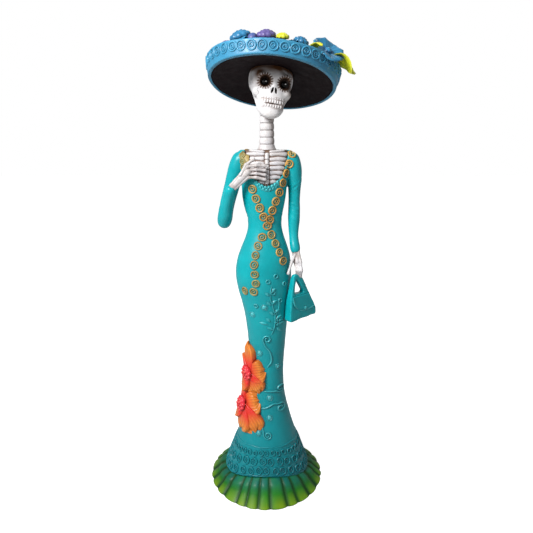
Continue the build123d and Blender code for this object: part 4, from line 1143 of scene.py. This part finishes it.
def hat_shape():
    """Brim, band and crown, leaning back with the head."""
    slope = np.linspace(0, 1, 12)
    edge = HAT_RADIUS - BAND_WALL
    under = [(edge - (edge - CROWN_RADIUS) * t, 0.5 + (BRIM_RISE - 0.5) * t) for t in slope]
    under += [(CROWN_RADIUS * t, BRIM_RISE + 0.4) for t in (0.8, 0.6, 0.4)]
    profile = under + [(r, z + BRIM_SHEET) for r, z in under[::-1]]
    points, faces = lathe(profile, 160, 0.0)
    points[:, 2] += 0.28 * bump_field(points, 22, 31)
    make_object("hat_brim_sheet", HAT.out(points), faces[:, ::-1], HAT_DARK, "head",
                hides=["hat_brim"])

    around = 220
    turn = np.linspace(0, 2 * np.pi, around, endpoint=False)
    tall = band_height(turn)
    outline = [(edge, 0.0, 0), (HAT_RADIUS - 0.5, 0.0, 0), (HAT_RADIUS, 0.35, 0)]
    outline += [(HAT_RADIUS + BAND_FLARE * t, 0, t) for t in np.linspace(0.06, 0.94, 12)]
    outline += [(HAT_RADIUS + BAND_FLARE - 0.4, 0, 0.99), (HAT_RADIUS + BAND_FLARE - 1.5, 0.3, 1.0),
                (HAT_RADIUS + BAND_FLARE - 2.6, 0, 0.99), (HAT_RADIUS + BAND_FLARE - BAND_WALL, 0, 0.94)]
    outline += [(edge + BAND_FLARE * t, 0, t) for t in (0.7, 0.45, 0.25)]
    uneven = 0.3 * np.sin(5 * turn + 1) + 0.2 * np.sin(9 * turn + 2)
    tall = tall + 0.4 * uneven
    rows = [round_rows(r + uneven * 0.6, turn, base + share * tall) for r, base, share in outline]
    faces = grid_faces(len(rows), around, wrap_rows=True, wrap_columns=True)
    band = make_object("hat_band_strip", HAT.out(np.concatenate(rows)), faces, BLUE, "head",
                       hides=["hat_band"])
    rosettes = Pile()
    skin = Skin(band)
    for n in range(BAND_ROSETTES):
        angle = 2 * np.pi * n / BAND_ROSETTES + rng.uniform(-0.01, 0.01)
        height = band_height(angle) - 5.4
        out = np.array([math.sin(angle), -math.cos(angle), 0])
        centre, normal = skin.hit(HAT.out(out * 90 + (0, 0, height)), HAT.way(-out))
        ring(skin, rosettes, centre, normal, 3.75, 0.95, 1.25)
        curl(skin, rosettes, centre, normal, 1.9, 0.7, 1.0, 1.4, rng.uniform(0, 6))
    rosettes.make("hat_band_curls", HIGHLIT_BLUE_RELIEF, "head", ["band_rosettes"])

    dome = [(CROWN_RADIUS * math.cos(a) ** 0.6, 11 + (CROWN_TOP - 11) * math.sin(a))
            for a in np.linspace(0, np.pi / 2 - 0.02, 18)]
    profile = [(0.3, BRIM_RISE + 1), (CROWN_RADIUS, BRIM_RISE + 1)] + dome
    points, faces = lathe(profile, 96, 0.25, 9)
    crown_turn = np.arctan2(points[:, 0], points[:, 1])
    lift = np.clip((points[:, 2] - 12) / 10, 0, 1) * np.clip(np.hypot(points[:, 0], points[:, 1]) / 20, 0, 1)
    points[:, 2] += 0.35 * np.sin(7 * crown_turn) * lift
    make_object("hat_crown_dome", HAT.out(points), faces, BLUE, "head", hides=["hat_crown"])


def sheet(pile, top, normals, thickness, **masks):
    """A closed petal or leaf: an upper and a lower skin meeting at a thin edge."""
    rows, columns = top.shape[:2]
    v = np.linspace(-1, 1, columns)
    thick = thickness * (1 - np.abs(v) ** 6) ** 0.5
    ends = np.minimum(1, np.minimum(np.arange(rows) + 0.25, rows - np.arange(rows) - 0.75) / 2) ** 0.5
    below = top - normals * (thick[None, :] * ends[:, None])[..., None]
    both = np.concatenate([top, below[::-1]])
    doubled = {key: np.concatenate([value, value[::-1]]) for key, value in masks.items()}
    pile.add(both, grid_faces(2 * rows, columns, wrap_rows=True), **doubled)


def bloom(pile, centre, axis, radius, petals, cup, seed, broad=0.7, layers=2):
    """An open flower of cupped petals round axis, with veins and a darker throat."""
    shake = np.random.default_rng(seed)
    axis = unit(np.asarray(axis, float))
    level, up = tangent_axes(axis)
    rows, columns = 18, 19
    u = np.linspace(0.03, 1, rows)[:, None]
    v = np.linspace(-1, 1, columns)[None, :]
    veins = np.abs(np.cos(v * 2.5 * np.pi)) ** 6 * np.clip(1.1 - u, 0, 1) * 0.9
    throat = np.clip((0.4 - u) / 0.3, 0, 1) * np.ones_like(v)
    for layer, (size, raised) in enumerate(((1.0, 0.0), (0.68, 1.8))[:layers]):
        for n in range(petals):
            turn = 2 * np.pi * (n + 0.5 * layer) / petals + shake.uniform(-0.1, 0.1)
            out = level * math.cos(turn) + up * math.sin(turn)
            side = np.cross(axis, out)
            reach = radius * size * shake.uniform(0.92, 1.05)
            rounding = np.sqrt(np.clip(1 - ((u - 0.6) / 0.42).clip(0, 1) ** 2, 0.02, 1))
            width = reach * broad * np.sin(np.clip(u * 1.15, 0, 1) * np.pi / 2) * rounding
            along = reach * u * (1 - 0.05 * v**2 * u)
            curl_back = 0.3 * reach * np.clip(u - 0.7, 0, 1) ** 2 * 4
            lift = raised + cup * reach * u**1.5 - 0.14 * reach * v**2 * u - curl_back
            lift = lift + 0.3 * np.cos(v * 2 * np.pi) * u
            top = centre + along[..., None] * out + (width * v)[..., None] * side + lift[..., None] * axis
            facing = unit(np.cross(np.gradient(top, axis=0), np.gradient(top, axis=1)))
            facing = np.where((facing @ axis)[..., None] < 0, -facing, facing)
            sheet(pile, top, facing, 1.2, streak=veins, heart=throat)


def solid(pile, points, faces, heart=0.0):
    """Adds a smooth solid to a pile of petals, with its share of the heart colour."""
    pile.add(points, faces, streak=np.zeros(len(points)), heart=np.full(len(points), heart))


def stalk_solid(start, end, r0, r1):
    """The rolled paper that holds a flower up from the tray."""
    low, high = np.minimum(start, end) - 8, np.maximum(start, end) + 8
    return surface_net(lambda p: rod(p, start, end, r0, r1), low, high, 1.1)


TRAY_RADIUS = 42.0
# Blossoms: angle from the front towards +X, petal radius, scale of the ruffled middle.
BLUE_BLOSSOMS = [(-40, 12.0, 1.15), (29, 11.0, 0.8), (112, 13.0, 1.0), (-112, 13.0, 1.1), (175, 13.0, 1.1)]
VIOLET_BLOSSOMS = [(-9, 11.0, 1.0), (-24, 7.0, 0.55), (-75, 12.5, 0.95), (146, 12.5, 0.95), (-148, 12.5, 1.0)]
SIDE_BLOOM = (46.0, -34.0, 19.5)
SIDE_BLOOM_FOOT = (41, -24, 11)
LEAF_RUNS = [
    ([(50, -30, 19.0), (58, -29, 19.5), (65, -27, 14.5), (70, -25, 6.5)], 7.0),
    ([(50, -18, 19.5), (59, -15, 21.0), (68, -13, 18.5), (75, -12, 12.5)], 6.5),
    ([(28, -40, 15.5), (33, -46, 17.8), (37, -50, 18.0), (40, -54, 14.5)], 3.6),
]
YELLOW_BUD = (6.5, -49.0, 20.5)


def toppings():
    """Blue and violet blossoms in the tray, one big bloom over the side, yellow leaves and a bud."""
    step = 0.5
    for word, spots, material, petals in (("blue", BLUE_BLOSSOMS, FLOWER_BLUE, 5),
                                          ("violet", VIOLET_BLOSSOMS, FLOWER_VIOLET, 6)):
        pile = Pile()
        for n, (angle, radius, middle) in enumerate(spots):
            turn = math.radians(angle)
            out = np.array([math.sin(turn), -math.cos(turn), 0])
            place = HAT.out(out * (TRAY_RADIUS + 3.5) + (0, 0, band_height(turn) + 6.5 + 2.5 * middle))
            axis = unit(HAT.way(out * 0.6 + (0, 0, 1)))
            solid(pile, *stalk_solid(HAT.out(out * (TRAY_RADIUS - 2) + (0, 0, 12.5)), place, 6.0, 5.0))
            bloom(pile, place - axis * 1.0, axis, radius, petals, 0.2, 40 + n + petals)
            solid(pile, *ruffled_knob(place + axis * 1.5, axis, middle, step * middle, 1.3), heart=0.3)
        pile.make(f"{word}_blossoms", material, "head", [f"hat_{word}_flowers"])
    pile = Pile()
    place = HAT.out(SIDE_BLOOM)
    axis = unit(HAT.way((0.4, -0.8, 0.6)))
    bloom(pile, place, axis, 16.5, 5, 0.3, 90, broad=0.66, layers=1)
    solid(pile, *ruffled_knob(place + axis * 1.0, axis, 0.42, 0.4), heart=1.0)
    solid(pile, *stalk_solid(HAT.out(SIDE_BLOOM_FOOT), place, 6.0, 3.5))
    pile.make("side_bloom", FLOWER_BLUE, "head", ["hat_side_bloom"])
    leaves = Pile()
    for run, widest in LEAF_RUNS:
        path = HAT.out(curve(run, 24))
        share = np.linspace(0, 1, 24)
        half = widest * np.sin(np.clip(share * 0.93 + 0.06, 0, 1) * np.pi) ** 0.8 + 0.25
        forward = unit(np.gradient(path, axis=0))
        side = unit(np.cross(forward, HAT.way((0, 0, 1))))
        facing = np.cross(side, forward)
        v = np.linspace(-1, 1, 13)
        ribbed = np.abs(np.sin(share[:, None] * 22 + np.abs(v) * 4)) * (np.abs(v) > 0.12)
        dip = -0.9 * v**2 + 0.5 * np.exp(-((v / 0.1) ** 2)) - 0.25 * ribbed
        top = path[:, None] + (half[:, None] * v)[..., None] * side[:, None]
        top = top + dip[..., None] * facing[:, None]
        sheet(leaves, top, np.broadcast_to(facing[:, None], top.shape), 1.1)
    bud = HAT.out(YELLOW_BUD)
    leaves.add(*ruffled_knob(bud, unit(HAT.way((0, -0.5, 1))), 0.68, 0.4, 1.3))
    leaves.make("yellow_leaves", YELLOW, "head", ["hat_yellow_leaves"])


# ------------------------------------------------------------------ put together
ruffle()
skin_dress = Skin(dress())
lace(skin_dress)
chain(skin_dress)
frill(skin_dress)
skirt_relief(skin_dress)
skirt_flowers(skin_dress)
chest()
hands()
bag()
neck()
skull()
hat_shape()
toppings()

# Inner parts keep their CAD shape; only their finish is set.
for node, material, slot in (("foot_disc", PASTE, "paper_core"), ("armature_post", WOOD, "wood_post"),
                             ("neck_socket", PASTE, "paper_core"), ("neck_dowel", WOOD, "wood_post")):
    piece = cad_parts[node]
    piece.data.materials.clear()
    piece.data.materials.append(material)


# ------------------------------------------------------------------ studio
# Lamps: name, place, size, power.
LAMPS = [("key", (-0.5, -0.55, 0.8), 0.3, 10.6), ("fill", (1.1, -0.6, 0.4), 0.9, 0.5),
         ("rim", (0.2, 1.1, 1.0), 0.8, 2.6)]
WORLD_LIGHT = 0.34
CAMERA_PLACE, CAMERA_AIM, CAMERA_LENS = (0, -0.475, 0.37455), (0, 0, 0.24405), 32.58


def studio():
    """Pale floor, soft key from the front left, weak fill, pale surroundings."""
    bpy.ops.mesh.primitive_plane_add(size=8, location=(0, 0, 0))
    floor = bpy.context.object
    floor.name = "floor"
    p = Paint("floor_paint", 0.9, 0.0)
    shade = p.mix(p.ramp(p.noise(3), 0.3, 0.7, 0.4), "bcbcbc", "b4b4b4")
    seen = p.node("ShaderNodeLightPath").outputs["Is Camera Ray"]
    p.feed(p.shader, {"Emission Color": (1, 1, 1, 1), "Emission Strength": p.ramp(seen, 0, 1, 0.85)})
    floor.data.materials.append(p.finish(shade, []))

    world = bpy.data.worlds.new("studio")
    bpy.context.scene.world = world
    world.use_nodes = True
    tree = world.node_tree
    tree.nodes["Background"].inputs["Color"].default_value = (1, 1, 1, 1)
    seen = tree.nodes.new("ShaderNodeLightPath").outputs["Is Camera Ray"]
    shown = tree.nodes.new("ShaderNodeMapRange")
    shown.inputs["To Min"].default_value = WORLD_LIGHT
    tree.links.new(seen, shown.inputs["Value"])
    tree.links.new(shown.outputs["Result"], tree.nodes["Background"].inputs["Strength"])

    middle = Vector((0, 0, 0.25))
    for name, place, size, power in LAMPS:
        data = bpy.data.lights.new(name, "AREA")
        data.energy = power
        data.size = size
        lamp = bpy.data.objects.new(name, data)
        lamp.location = place
        lamp.rotation_euler = (middle - lamp.location).to_track_quat("-Z", "Y").to_euler()
        bpy.context.scene.collection.objects.link(lamp)

    data = bpy.data.cameras.new("camera")
    data.sensor_width = 36
    data.lens = CAMERA_LENS
    data.clip_start = 0.01
    camera = bpy.data.objects.new("camera", data)
    camera.location = CAMERA_PLACE
    aim = Vector(CAMERA_AIM) - camera.location
    camera.rotation_euler = aim.to_track_quat("-Z", "Y").to_euler()
    bpy.context.scene.collection.objects.link(camera)
    bpy.context.scene.camera = camera
    bpy.context.scene.view_settings.view_transform = "Standard"


studio()
